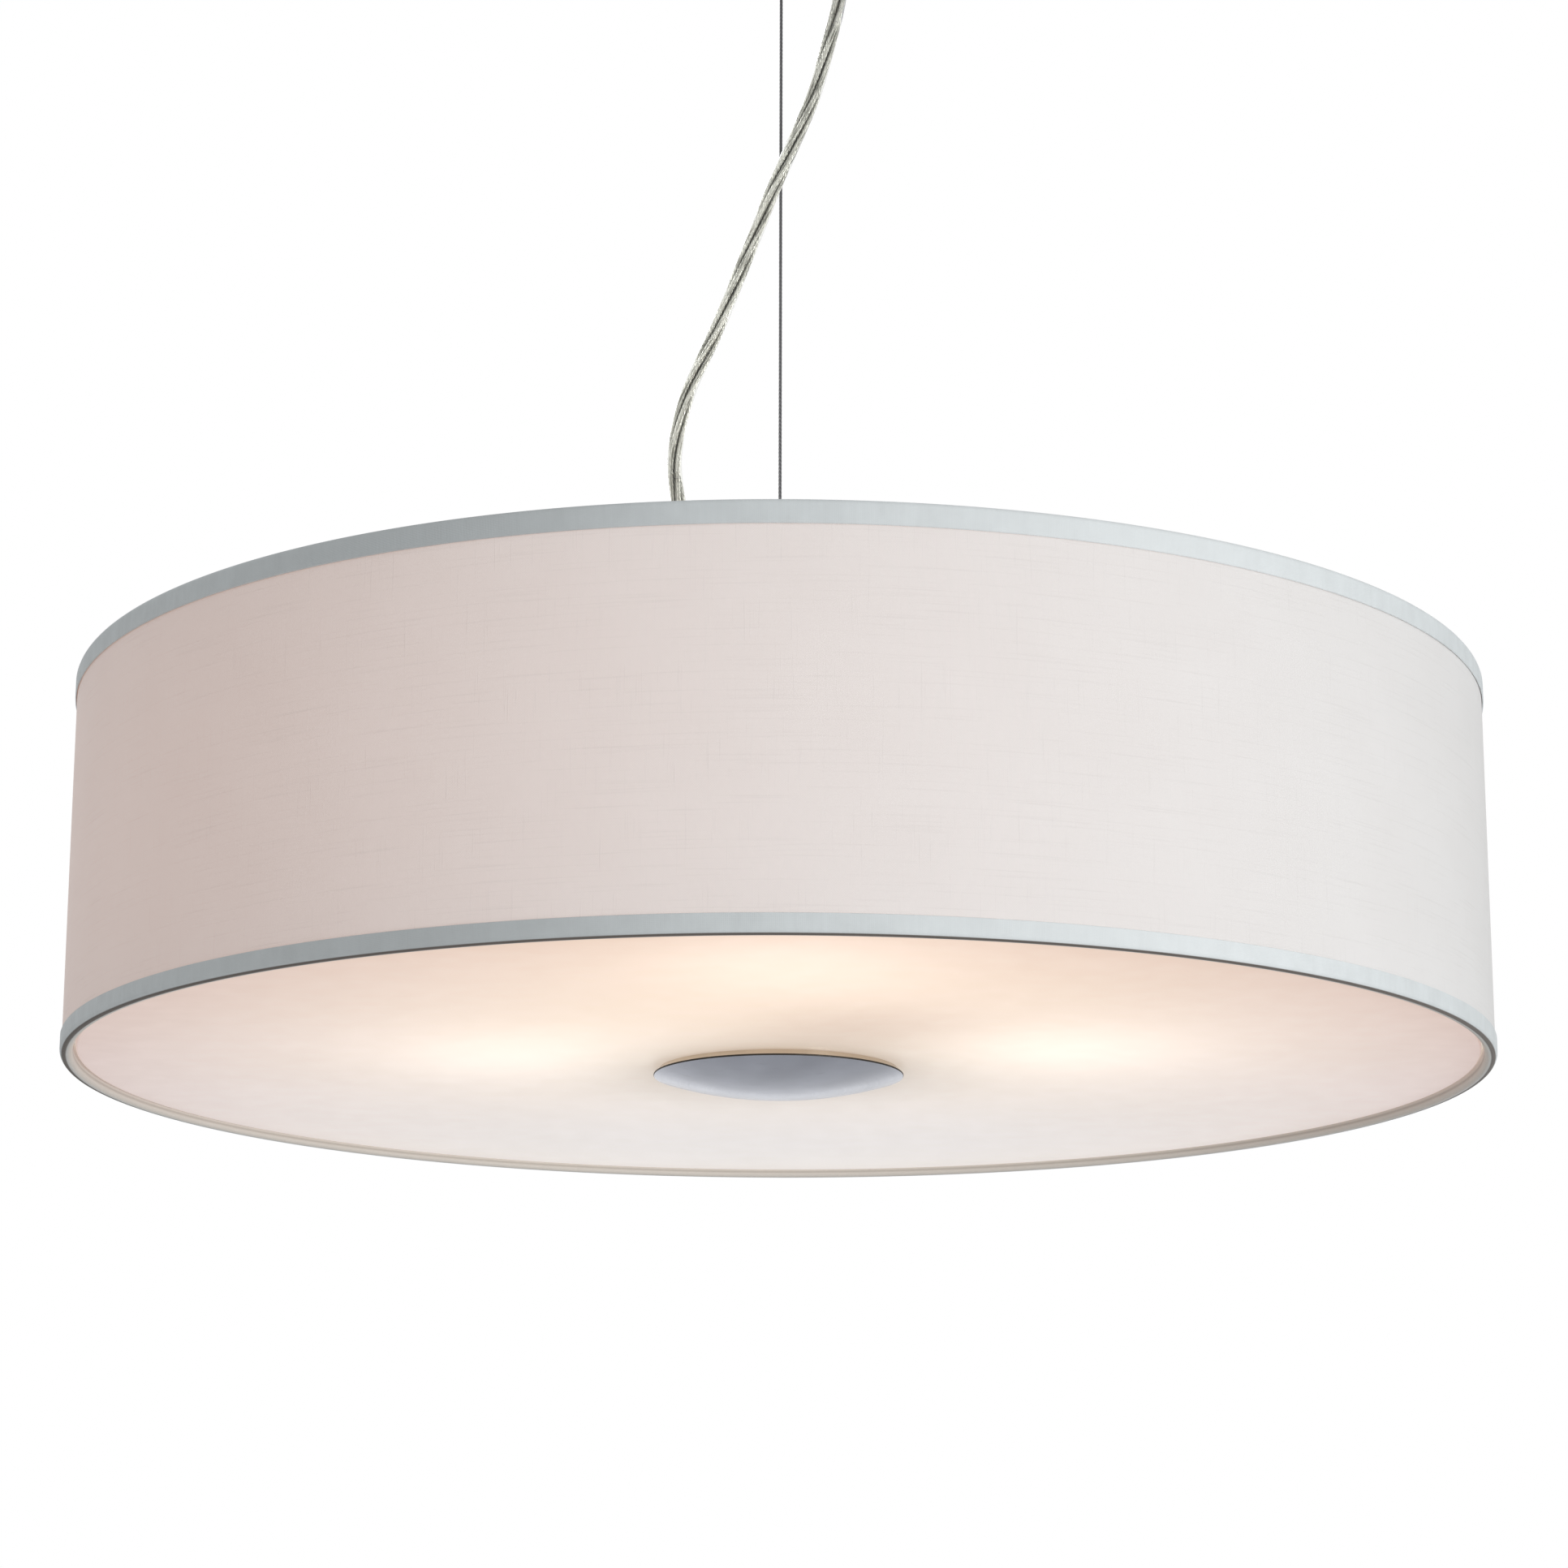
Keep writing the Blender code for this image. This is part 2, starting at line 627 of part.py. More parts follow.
def build_hub():
    """The centre tube, the can that the lampholders screw to, and its cover and nuts."""

    def on_axis(level):
        return (0, 0, level - pivot_level)

    bore = tube_radius - TUBE_WALL
    length = tube_top - tube_bottom
    outline = ((tube_radius, length), (tube_radius, 0), (bore, 0), (bore, length))
    tube = turned("centre_tube", outline, FITTING_SIDES, zinc)
    hang(tube, swing, on_axis(tube_bottom))
    radius, inside = HUB_DIAMETER / 2, HUB_DIAMETER / 2 - HUB_WALL
    bend = (radius - HUB_BEND, HUB_BEND)
    outline = [(radius, HUB_HEIGHT)]
    outline += arc(HUB_BEND, bend, 0, -math.pi / 2, BEND_STEPS)
    outline += [(tube_bore, 0), (tube_bore, HUB_WALL)]
    outline += [(radius - HUB_BEND, HUB_WALL), (inside, HUB_BEND), (inside, HUB_HEIGHT)]
    can = turned("hub_housing", outline, HUB_SIDES, white_metal)
    hang(can, swing, on_axis(hub_bottom))
    for number, angle in enumerate(BULB_ANGLES, 1):
        hole = rod(f"socket_hole_{number}", SOCKET_STUB + 2 * GAP, radius, FITTING_SIDES)
        start = tube_radius * 2
        place = (start * math.cos(angle), start * math.sin(angle), hub_level - pivot_level)
        carve(can, hang(hole, swing, place, (0, math.pi / 2, angle)))
    outline = ((radius, HUB_COVER), (radius, 0), (tube_bore, 0), (tube_bore, HUB_COVER))
    cover = turned("hub_cover", outline, HUB_SIDES, white_metal)
    hang(cover, swing, on_axis(cover_bottom))
    grip_at = Vector((lower_grip_place, 0, cover_top - pivot_level))
    opening = rod(
        "lower_grip_hole", GRIP_STUB + 2 * GAP, HUB_COVER + 2 * CUT_OVERRUN, FITTING_SIDES
    )
    hang(opening, swing, grip_at - Vector((0, 0, HUB_COVER + CUT_OVERRUN)))
    carve(cover, opening)
    cord_grip("lower_cord_grip", swing, grip_at, (math.pi, 0, 0))
    under_cover = Vector((0, 0, HUB_COVER + GAP + GRIP_NUT_HEIGHT))
    nut(
        "lower_grip_nut",
        GRIP_NUT_WIDTH,
        GRIP_NUT_HEIGHT,
        GRIP_STUB,
        swing,
        grip_at - under_cover,
    )
    for name, level in (
        ("hub_nut_upper", hub_nut_bottom),
        ("hub_nut_lower", hub_bottom - GAP - NUT_HEIGHT),
        ("spider_nut", spider_nut_bottom),
        ("diffuser_nut", diffuser_top + GAP + WASHER_THICKNESS + GAP),
    ):
        nut(name, NUT_WIDTH, NUT_HEIGHT, TUBE_DIAMETER, swing, on_axis(level))


def build_spider():
    """The ring on the tube and the three spokes that carry the shade's upper ring."""
    outline = (
        (spider_radius, SPIDER_THICKNESS),
        (spider_radius, 0),
        (tube_bore, 0),
        (tube_bore, SPIDER_THICKNESS),
    )
    ring = turned("spider_ring", outline, SOCKET_SIDES, white_metal)
    hang(ring, swing, (0, 0, spider_bottom - pivot_level))
    start = Vector((spider_radius + GAP, 0, spider_middle - pivot_level))
    end = Vector((ring_radius - RING_WIRE / 2 - GAP, 0, spoke_end_level() - pivot_level))
    for number, angle in enumerate(BULB_ANGLES, 1):
        spoke = round_wire(f"spoke_{number}", (start, end), SPOKE_WIRE, white_metal, swing)
        spoke.rotation_euler = (0, 0, angle)


def spoke_end_level():
    """A spoke meets the upper ring from inside, with its top a gap below the ring's top."""
    return shade_top - ring_inset - (SPOKE_WIRE - RING_WIRE) / 2 - GAP


def build_lampholder(number, axis):
    """A lampholder with its screw shell, centre contact and nut, along the bulb's axis."""
    radius, neck, stub = SOCKET_DIAMETER / 2, SOCKET_NECK / 2, SOCKET_STUB / 2
    neck_end = socket_base + SOCKET_NECK_LENGTH
    stub_end = socket_base - SOCKET_STUB_LENGTH
    outline = (
        (radius, socket_mouth),
        (radius, neck_end + SOCKET_TAPER),
        (neck, neck_end),
        (neck, socket_base),
        (stub, socket_base),
        (stub, stub_end),
        (LEAD_HOLE / 2, stub_end),
        (LEAD_HOLE / 2, socket_floor),
        (chamber_radius, socket_floor),
        (chamber_radius, socket_mouth),
    )
    hang(turned(f"lampholder_{number}", outline, SOCKET_SIDES, white_plastic), axis)
    start = socket_floor + GAP
    outline = (
        (shell_outer, start + SHELL_LENGTH),
        (shell_outer, start),
        (shell_inner, start),
        (shell_inner, start + SHELL_LENGTH),
    )
    hang(turned(f"screw_shell_{number}", outline, SOCKET_SIDES, brass), axis)
    wide, pip, pip_end = CONTACT_DIAMETER / 2, CONTACT_PIP / 2, cap_start - GAP
    outline = (
        (0, pip_end),
        (pip, pip_end),
        (pip, start + CONTACT_THICKNESS),
        (wide, start + CONTACT_THICKNESS),
        (wide, start),
        (0, start),
    )
    hang(turned(f"centre_contact_{number}", outline, FITTING_SIDES, brass), axis)
    half = HOLDER_NUT_WIDTH / 2
    seat = math.sqrt((HUB_DIAMETER / 2 - HUB_WALL) ** 2 - half**2)
    place = (0, 0, seat - GAP - HOLDER_NUT_HEIGHT)
    name = f"holder_nut_{number}"
    nut(name, HOLDER_NUT_WIDTH, HOLDER_NUT_HEIGHT, SOCKET_STUB, axis, place)


def build_bulb(number, axis):
    """A screw-cap bulb: the cap, and the glass with its neck open where the cap closes it."""
    tip = CAP_TIP_DIAMETER / 2
    outline = (
        (0, cap_end),
        (cap_radius, cap_end),
        (cap_radius, cap_start + CAP_TIP_LENGTH + CAP_CONE_LENGTH),
        (tip, cap_start + CAP_TIP_LENGTH),
        (tip, cap_start),
        (0, cap_start),
    )
    hang(turned(f"bulb_cap_{number}", outline, SOCKET_SIDES, aluminium), axis)
    start = cap_end + GAP
    neck = cap_radius + NECK_STEP
    ball_radius = BULB_DIAMETER / 2
    middle = start + NECK_LENGTH - ball_radius * math.sin(BALL_START)
    reach = ball_radius * math.cos(BALL_START) - neck

    def wall(inset):
        """The bulb's outline from its neck to its end, set in from the outside."""
        side = [
            (neck + reach * out - inset, start + NECK_LENGTH * along)
            for along, out in NECK_OUTLINE_SHARES
        ]
        end = math.pi / 2
        side += arc(ball_radius - inset, (0, middle), BALL_START, end, BALL_STEPS)
        side[-1] = (0, side[-1][1])
        return side

    outline = wall(0)[::-1] + wall(BULB_GLASS)
    hang(turned(f"bulb_glass_{number}", outline, SOCKET_SIDES, frosted_glass), axis)


def build_lights():
    """Three lampholders and bulbs on axes that run out from the hub."""
    for number, angle in enumerate(BULB_ANGLES, 1):
        level = (0, 0, hub_level - pivot_level)
        axis = pivot(f"bulb_axis_{number}", level, (0, math.pi / 2, angle), swing)
        build_lampholder(number, axis)
        build_bulb(number, axis)


def hem_outline(leg):
    """A hem folded round the shade's lower edge, at height zero, with legs this high."""
    outer, inner = shade_radius, hem_inner
    fold = HEM_BEND - TRIM_CLOTH
    outline = [(outer, leg)]
    outline += arc(HEM_BEND, (outer - HEM_BEND, HEM_BEND), 0, -math.pi / 2, BEND_STEPS)
    outline += arc(
        HEM_BEND, (inner + HEM_BEND, HEM_BEND), -math.pi / 2, -math.pi, BEND_STEPS
    )
    outline += [(inner, leg), (inner + TRIM_CLOTH, leg)]
    outline += [
        (inner + TRIM_CLOTH, HEM_BEND),
        (inner + TRIM_CLOTH + fold, TRIM_CLOTH),
        (outer - TRIM_CLOTH - fold, TRIM_CLOTH),
        (outer - TRIM_CLOTH, HEM_BEND),
        (outer - TRIM_CLOTH, leg),
    ]
    return outline


def build_shade():
    """The fabric wall, the two wire rings and the folded hems that bind them together."""

    def at(level):
        return (0, 0, level - pivot_level)

    wall_height = SHADE_HEIGHT - 2 * HEM_BEND
    outline = (
        (wall_outer, wall_height),
        (wall_outer, 0),
        (wall_inner, 0),
        (wall_inner, wall_height),
    )
    wall = turned("shade_wall", outline, DRUM_SIDES, fabric)
    hang(wall, swing, at(shade_bottom + HEM_BEND))
    ring = list(arc(RING_WIRE / 2, (ring_radius, 0), 0, -2 * math.pi, RING_SIDES))[:-1]
    for name, level in (
        ("top_ring", shade_top - ring_inset),
        ("bottom_ring", shade_bottom + ring_inset),
    ):
        hang(turned(name, ring, DRUM_SIDES, white_metal), swing, at(level))
    outline = hem_outline(BOTTOM_TRIM_HEIGHT)
    hang(turned("bottom_trim", outline, DRUM_SIDES, trim_fabric), swing, at(shade_bottom))
    upside_down = [(radius, -height) for radius, height in hem_outline(TOP_TRIM_HEIGHT)][::-1]
    trim = turned("top_trim", upside_down, DRUM_SIDES, trim_fabric)
    hang(trim, swing, at(shade_top))
    spoke_top = spoke_end_level() + SPOKE_WIRE / 2 + GAP
    foot = shade_top - TOP_TRIM_HEIGHT - CUT_OVERRUN
    depth = TRIM_CLOTH + CUT_OVERRUN + GAP
    width = SPOKE_WIRE + 2 * NOTCH_SLACK
    centre = hem_inner + TRIM_CLOTH + GAP - depth / 2
    for number, angle in enumerate(BULB_ANGLES, 1):
        notch = block(f"spoke_notch_{number}", depth, width, spoke_top - foot)
        place = (
            centre * math.cos(angle),
            centre * math.sin(angle),
            (spoke_top + foot) / 2 - pivot_level,
        )
        carve(trim, hang(notch, swing, place, (0, 0, angle)))


def build_diffuser():
    """The frosted disc, the washer over it, and the finial that screws up under it."""
    radius, hole = hem_inner - DIFFUSER_EDGE_GAP, tube_radius + DIFFUSER_HOLE_SLACK
    bend, top = DIFFUSER_BEND, DIFFUSER_THICKNESS
    outline = (
        (radius - bend, top),
        (radius, top - bend),
        (radius, bend),
        (radius - bend, 0),
        (hole, 0),
        (hole, top),
    )
    disc = turned("diffuser", outline, DRUM_SIDES, frosted_plastic)
    hang(disc, swing, (0, 0, diffuser_underside - pivot_level))
    wide = WASHER_DIAMETER / 2
    outline = (
        (wide, WASHER_THICKNESS),
        (wide, 0),
        (tube_bore, 0),
        (tube_bore, WASHER_THICKNESS),
    )
    washer = turned("diffuser_washer", outline, SOCKET_SIDES, rubber)
    hang(washer, swing, (0, 0, diffuser_top + GAP - pivot_level))
    rim_top = -GAP
    rim_bottom = rim_top - FINIAL_RIM
    rim = FINIAL_DIAMETER / 2

    def dome(share, inset):
        """A point of the dome, from its rim to its middle, with the wall's inside set in."""
        across = (rim - inset) * share
        return across, rim_bottom - (FINIAL_DEPTH - inset) * (1 - share**2)

    outline = [(rim, rim_top)]
    outline += [dome(1 - step / FINIAL_STEPS, 0) for step in range(FINIAL_STEPS + 1)]
    outline += [
        dome(step / FINIAL_INNER_STEPS, FINIAL_WALL) for step in range(FINIAL_INNER_STEPS + 1)
    ]
    outline += [(rim - FINIAL_WALL, rim_top)]
    place = (0, 0, diffuser_underside - pivot_level)
    hang(turned("finial", outline, DISC_SIDES, nickel), swing, place)
    wide = tube_bore + INSERT_WALL
    floor = dome(wide / (rim - FINIAL_WALL), FINIAL_WALL)[1] + GAP
    outline = ((wide, rim_top), (wide, floor), (tube_bore, floor), (tube_bore, rim_top))
    hang(turned("finial_insert", outline, FITTING_SIDES, brass), swing, place)


clear_scene()
parts = collection("pendant_light")
cutters = collection("cutters")
nickel = finish("satin_nickel", (0.62, 0.62, 0.64), 0.28, metallic=1.0)
steel = finish("steel", (0.45, 0.45, 0.46), 0.35, metallic=1.0)
zinc = finish("zinc_plate", (0.66, 0.67, 0.68), 0.45, metallic=1.0)
brass = finish("brass", (0.78, 0.62, 0.30), 0.35, metallic=1.0)
aluminium = finish("aluminium", (0.75, 0.75, 0.76), 0.4, metallic=1.0)
white_metal = finish("white_metal", (0.88, 0.88, 0.86), 0.4)
white_plastic = finish("white_plastic", (0.90, 0.90, 0.88), 0.35)
clear_plastic = finish("clear_plastic", (0.78, 0.77, 0.70), 0.15, transmission=0.6)
brown_plastic = finish("brown_plastic", (0.28, 0.13, 0.06), 0.4)
blue_plastic = finish("blue_plastic", (0.06, 0.20, 0.55), 0.4)
green_plastic = finish("green_plastic", (0.20, 0.50, 0.14), 0.4)
rubber = finish("rubber", (0.05, 0.05, 0.05), 0.7)
fabric = finish("white_fabric", (0.86, 0.84, 0.82), 0.9)
trim_fabric = finish("trim_fabric", (0.78, 0.83, 0.86), 0.9)
frosted_plastic = finish("frosted_plastic", (0.94, 0.91, 0.87), 0.55)
frosted_glass = finish("frosted_glass", (0.96, 0.94, 0.90), 0.4)

ceiling = pivot("ceiling_frame", (0, 0, 0))
swing = pivot("swing_pivot", (0, 0, pivot_level))
build_strap()
build_canopy()
build_wire_holder()
build_suspension()
build_gripper()
build_hub()
build_spider()
build_lights()
build_shade()
build_diffuser()
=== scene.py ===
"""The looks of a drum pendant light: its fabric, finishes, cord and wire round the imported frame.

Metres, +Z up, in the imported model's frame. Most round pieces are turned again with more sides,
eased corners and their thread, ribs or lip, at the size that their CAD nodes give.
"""
import json
import math

import bmesh
import bpy
from mathutils import Matrix, Vector, noise


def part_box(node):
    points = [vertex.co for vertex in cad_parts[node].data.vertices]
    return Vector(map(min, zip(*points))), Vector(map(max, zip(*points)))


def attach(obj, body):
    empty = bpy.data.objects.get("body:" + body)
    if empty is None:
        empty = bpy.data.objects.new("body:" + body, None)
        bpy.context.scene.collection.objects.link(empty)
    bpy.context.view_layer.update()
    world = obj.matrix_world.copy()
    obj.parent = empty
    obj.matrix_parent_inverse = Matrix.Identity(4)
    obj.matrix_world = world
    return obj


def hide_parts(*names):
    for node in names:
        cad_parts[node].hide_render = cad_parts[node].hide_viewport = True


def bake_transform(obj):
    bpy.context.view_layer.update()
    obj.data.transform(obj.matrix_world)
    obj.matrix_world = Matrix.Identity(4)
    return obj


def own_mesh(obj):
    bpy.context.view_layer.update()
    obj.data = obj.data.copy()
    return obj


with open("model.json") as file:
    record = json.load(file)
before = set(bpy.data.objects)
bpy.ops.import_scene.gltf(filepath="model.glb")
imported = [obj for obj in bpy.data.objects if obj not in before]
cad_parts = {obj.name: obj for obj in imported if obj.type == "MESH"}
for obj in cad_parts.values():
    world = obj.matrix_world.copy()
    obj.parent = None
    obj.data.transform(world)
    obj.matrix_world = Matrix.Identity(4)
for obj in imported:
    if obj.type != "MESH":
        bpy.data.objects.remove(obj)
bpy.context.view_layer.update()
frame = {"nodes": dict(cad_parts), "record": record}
nodes = frame["nodes"]
record = frame["record"]
slots = {row["node"]: row["material_slot"] for row in record["subparts"]}
homes = {node: body for body, held in record["behaviour"]["bodies"].items() for node in held}

# The photograph's camera
CAMERA_PLACE = (0.0, -1.5431, -0.7836)
CAMERA_PITCH, CAMERA_YAW, CAMERA_ROLL = 0.2406, 0.0012, 0.0022
CAMERA_LENS, SENSOR_WIDTH = 92.37, 36.0

# Floor, which is lit a little from itself, least under the lamp as a painted soft shade and most far off,
# and background
FLOOR_LEVEL = -1.8
FLOOR_SIZE = 24.0
FLOOR_COLOUR = (0.66, 0.66, 0.66)
FLOOR_NEAR, FLOOR_NEAR_LIFT = 1.2, 0.06
FLOOR_FAR, FLOOR_FAR_LIFT = 6.5, 0.72
AMBIENT = 0.50

# Each lamp's place, size, watts and spread: one low at the right front and one high behind
LAMPS = {
    "key": ((1.85, -2.05, -0.90), 1.2, 12.2, math.radians(110)),
    "back": ((-0.8, 2.6, 0.9), 1.4, 15.5, math.radians(150)),
}

# How finely pieces are made, and where their shading breaks
DRUM_SIDES = 360
DISC_SIDES = 144
FITTING_SIDES = 72
SMOOTH_ANGLE = math.radians(38)
MERGE = 1e-6
DIGITS = 6
SAME_TURN = 0.01
UPRIGHT = Matrix.Identity(4)

# How far a piece's corners are eased, where not by the plain ease
PLAIN_EASE = 0.0003
EASES = {
    "canopy": 0.0012, "hanger_stud": 0.0004, "terminal_block": 0.0005, "gripper_body": 0.0004,
    "gripper_plunger": 0.0004, "hub_housing": 0.0010, "hub_cover": 0.0005, "spider_ring": 0.0004,
    "lampholder": 0.0008, "screw_shell": 0.0002, "centre_contact": 0.0002, "bulb_cap": 0.0004,
    "bulb_glass": 0.0030, "diffuser": 0.0007, "diffuser_washer": 0.0005,
}
EASE_SHARE = 0.45

# A nut: its bore's ease, and its chamfer and end face as shares of its height and flats
NUT_EASE = 0.0004
NUT_CHAMFER, NUT_FACE, NUT_STEPS = 0.14, 0.96, 5

# Threads: the stud's and tube's, the holders' shells' and the bulbs' caps'
FINE_THREAD = {"pitch": 0.001, "depth": 0.0006, "sides": 24, "step": 0.00025}
SHELL_THREAD = {"pitch": 0.003629, "depth": 0.0004, "sides": 48, "step": 0.0004}
CAP_THREAD = {**SHELL_THREAD, "depth": 0.0008, "after": 0.0058, "before": 0.0016}
THREAD_REACH = 0.001

# The wire holder's knurl and the lampholders' flutes, from their pieces' ends
KNURL = {"start": 0.014, "end": 0.004, "count": 36, "depth": 0.0003, "step": 0.0004, "slant": 2200.0}
FLUTES = {"start": 0.024, "end": 0.006, "count": 24, "depth": 0.0005, "step": 0.0015}

# The cord grips: the flange, the grooves and how much roomier the socket is made
GRIP_FLANGE = 0.005
GROOVED_FROM = 0.0042
GROOVE_MARGIN = 0.0012
GROOVE_PITCH, GROOVE_DEPTH, GROOVE_STEP = 0.0028, 0.0009, 0.0002
SOCKET_MOUTH, SOCKET_DEPTH = 0.0003, 0.004
SOCKET_WIDER, SOCKET_DEEPER = 0.0003, 0.0012

# Where the frame puts things
BULB_ANGLES = (math.radians(-90), math.radians(30), math.radians(150))

# The cord, and its route from the lamp's grip to the canopy's
CORD_DIAMETER = 0.006
CORD_ROUTE = (
    (-0.0200, 0.0000, -0.3909), (-0.0201, 0.0000, -0.3820), (-0.0214, -0.0004, -0.3700),
    (-0.0256, -0.0014, -0.3500), (-0.0312, -0.0023, -0.3290), (-0.0366, -0.0032, -0.3080),
    (-0.0410, -0.0040, -0.2882), (-0.0423, -0.0045, -0.2683), (-0.0372, -0.0050, -0.2442),
    (-0.0269, -0.0055, -0.2198), (-0.0187, -0.0060, -0.1988), (-0.0089, -0.0063, -0.1724),
    (-0.0030, -0.0063, -0.1564), (0.0043, -0.0060, -0.1386), (0.0126, -0.0050, -0.1171),
    (0.0176, -0.0040, -0.0991), (0.0220, -0.0026, -0.0810), (0.0240, -0.0016, -0.0701),
    (0.0257, -0.0004, -0.0590), (0.0260, 0.0000, -0.0495),
)
CORD_STEP = 0.0012
ROUTE_STEPS = 40
CORES = 3
CORD_SIDES, CORE_SIDES = 24, 14
CORE_RADIUS = 0.00092
CORE_ORBIT = 0.00106
CORE_PITCH = 0.105
CORE_STRANDS = 7
CORE_STRAND_PITCH = 0.016

# The suspension wire
WIRE_DIAMETER = 0.0013
WIRE_STEP = 0.0008
WIRE_STRANDS = 6
MIDDLE_SIDES, STRAND_SIDES = 6, 8
STRAND_RADIUS = 0.00022
STRAND_PITCH = 0.010

# Fabric shade: its cloth on a film, the lap at the back and its radius's slow wander
WALL_THICKNESS = 0.0008
CLOTH_SHARE = 0.45
FILM_GAP = 0.00002
WALL_ROWS = 16
LAP_WIDTH = 0.012
LAP_EDGE = 0.15
LAP_RISE = 0.00022
LAP_ANGLE = math.radians(90)
WEAVE_PITCH = 0.00055
WANDER, WANDER_SCALE, WANDER_RISE = 0.00008, 2.0, 8

# The tape: its cloth and fold, where its legs are flat, its narrower lap and its puckers
TAPE_CLOTH = 0.0004
TAPE_FOLD = 0.0021
TAPE_FOLD_STEPS = 8
TAPE_WEAVE_PITCH = WEAVE_PITCH * 1.1
TAPE_FLAT_FROM = 0.7
TAPE_LAP_WIDTH, TAPE_LAP_EDGE, TAPE_LAP_TURN = 0.010, 0.06, 0.01
PUCKER, PUCKER_SCALE, PUCKER_SEED = 0.00010, 46.0, 3.0

# The tape's colours: the bulbs' warm light painted on its inner side, a painted shadow line just below the
# diffuser, painted shade under the near hem, which fades toward the back, and painted shade and painted
# light on stretches in front
HEM_INSIDE, HEM_OUTSIDE = 0.2712, 0.2732
SEAT_SHADOW_DROP, SEAT_SHADOW_WIDTH = 0.0008, 0.0004
UNDER_SHADE_TOP, UNDER_SHADE_GONE = 0.00040, 0.00065
UNDER_SHADE_INSIDE, UNDER_SHADE_OUTSIDE = 0.0027, 0.0022
UNDER_SHADE_FADE_FROM, UNDER_SHADE_FADE_TO = 0.05, 0.17
TAPE_PAINTED_SHADE_ANGLE, TAPE_PAINTED_SHADE_WIDTH = math.radians(-113), math.radians(13)
TAPE_PAINTED_LIGHT_ANGLE, TAPE_PAINTED_LIGHT_WIDTH = math.radians(-62), math.radians(15)

# Painted glow standing in for the bulbs' light through the cloth, strongest at the left front
GLOW_COLOUR = (1.0, 0.50, 0.33)
GLOW_ANGLE = math.radians(-140)
GLOW_LEAST, GLOW_MOST = 0.02, 0.21
GLOW_EDGE_LOSS = 0.10
GLOW_THROUGH_LAP, GLOW_LAP_FADE = 0.62, 1.05

# The finial: an upright lip set in from the dish's thin edge
LIP_HEIGHT = 0.0019
LIP_INSET = 0.0020
LIP_WALL = 0.0008
DISH_EDGE = 0.0007
DISH_ROWS = 32

# The painted light on the diffuser, in linear colour: everywhere, its change toward the back, outward and
# toward the two sides as far as the rim, the bulbs' hot cores and haloes, and the painted shade that the
# finial and a lampholder leave
DISC_REACH = 0.27
DISC_STEP = 0.03
DISC_LEVEL = (0.235, 0.255, 0.345)
DISC_BACKWARD = (0.16, 0.19, 0.17)
DISC_OUTWARD = (0.15, 0.07, -0.015)
DISC_SIDEWAYS = (-0.09, -0.10, -0.075)
BULB_SPOTS = ((-0.097, -0.030), (0.106, -0.042), (0.003, -0.215))
CORE_LIGHT, CORE_SIZE = (0.18, 0.175, 0.165), 0.040
HALO_LIGHT, HALO_SIZE = (0.265, 0.19, 0.085), 0.140
FINIAL_SHADE, FINIAL_SHADE_SIZE = (-0.49, -0.42, -0.37), 0.045
HOLDER_PLACE = (0.032, -0.092)
HOLDER_SHADE, HOLDER_SHADE_SIZE = (-0.17, -0.16, -0.13), 0.032

# Where noise mostly lies, and the soft edge of the earth lead's stripe
NOISE_REACH = (0.3, 0.7)
STRIPE_EDGE = 0.0001

# The release spring in the gripper
SPRING_WIRE = 0.0008
SPRING_TURNS, SPRING_TURN_STEPS, SPRING_SIDES = 5, 24, 12


def drop_axis(angle):
    """The frame of a bulb: its Z runs out from the hub's middle."""
    low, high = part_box("hub_housing")
    middle = Matrix.Translation((0, 0, (low.z + high.z) / 2))
    return middle @ Matrix.Rotation(angle, 4, "Z") @ Matrix.Rotation(math.pi / 2, 4, "Y")


def span(node, axis=UPRIGHT):
    """A node's start and end along an axis, and how far it reaches from it."""
    back = axis.inverted()
    places = [back @ point.co for point in nodes[node].data.vertices]
    levels = [place.z for place in places]
    return min(levels), max(levels), max(place.xy.length for place in places)


def middle_of(node):
    """The middle of a node's box."""
    low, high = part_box(node)
    return (low + high) / 2


drum_radius = span("shade_wall")[2]


class Graph:
    """The node tree of a material or the world, with short ways to add nodes."""

    def __init__(self, owner):
        owner.use_nodes = True
        self.tree = owner.node_tree

    def feed(self, socket, value):
        """Link a socket to another's output, or set it."""
        if isinstance(value, bpy.types.NodeSocket):
            self.tree.links.new(value, socket)
        else:
            socket.default_value = value

    def node(self, kind, *values, **settings):
        """A new node with its settings and first inputs."""
        made = self.tree.nodes.new(kind)
        for name, value in settings.items():
            setattr(made, name, value)
        for socket, value in zip(made.inputs, values):
            self.feed(socket, value)
        return made

    def calc(self, operation, *values):
        """The result of a Math node."""
        return self.node("ShaderNodeMath", *values, operation=operation).outputs[0]

    def seen_directly(self):
        """1 for the rays that camera, gloss and glass see by."""
        path = self.node("ShaderNodeLightPath")
        total = path.outputs["Is Camera Ray"]
        for name in ("Is Glossy Ray", "Is Transmission Ray"):
            total = self.calc("MAXIMUM", total, path.outputs[name])
        return total


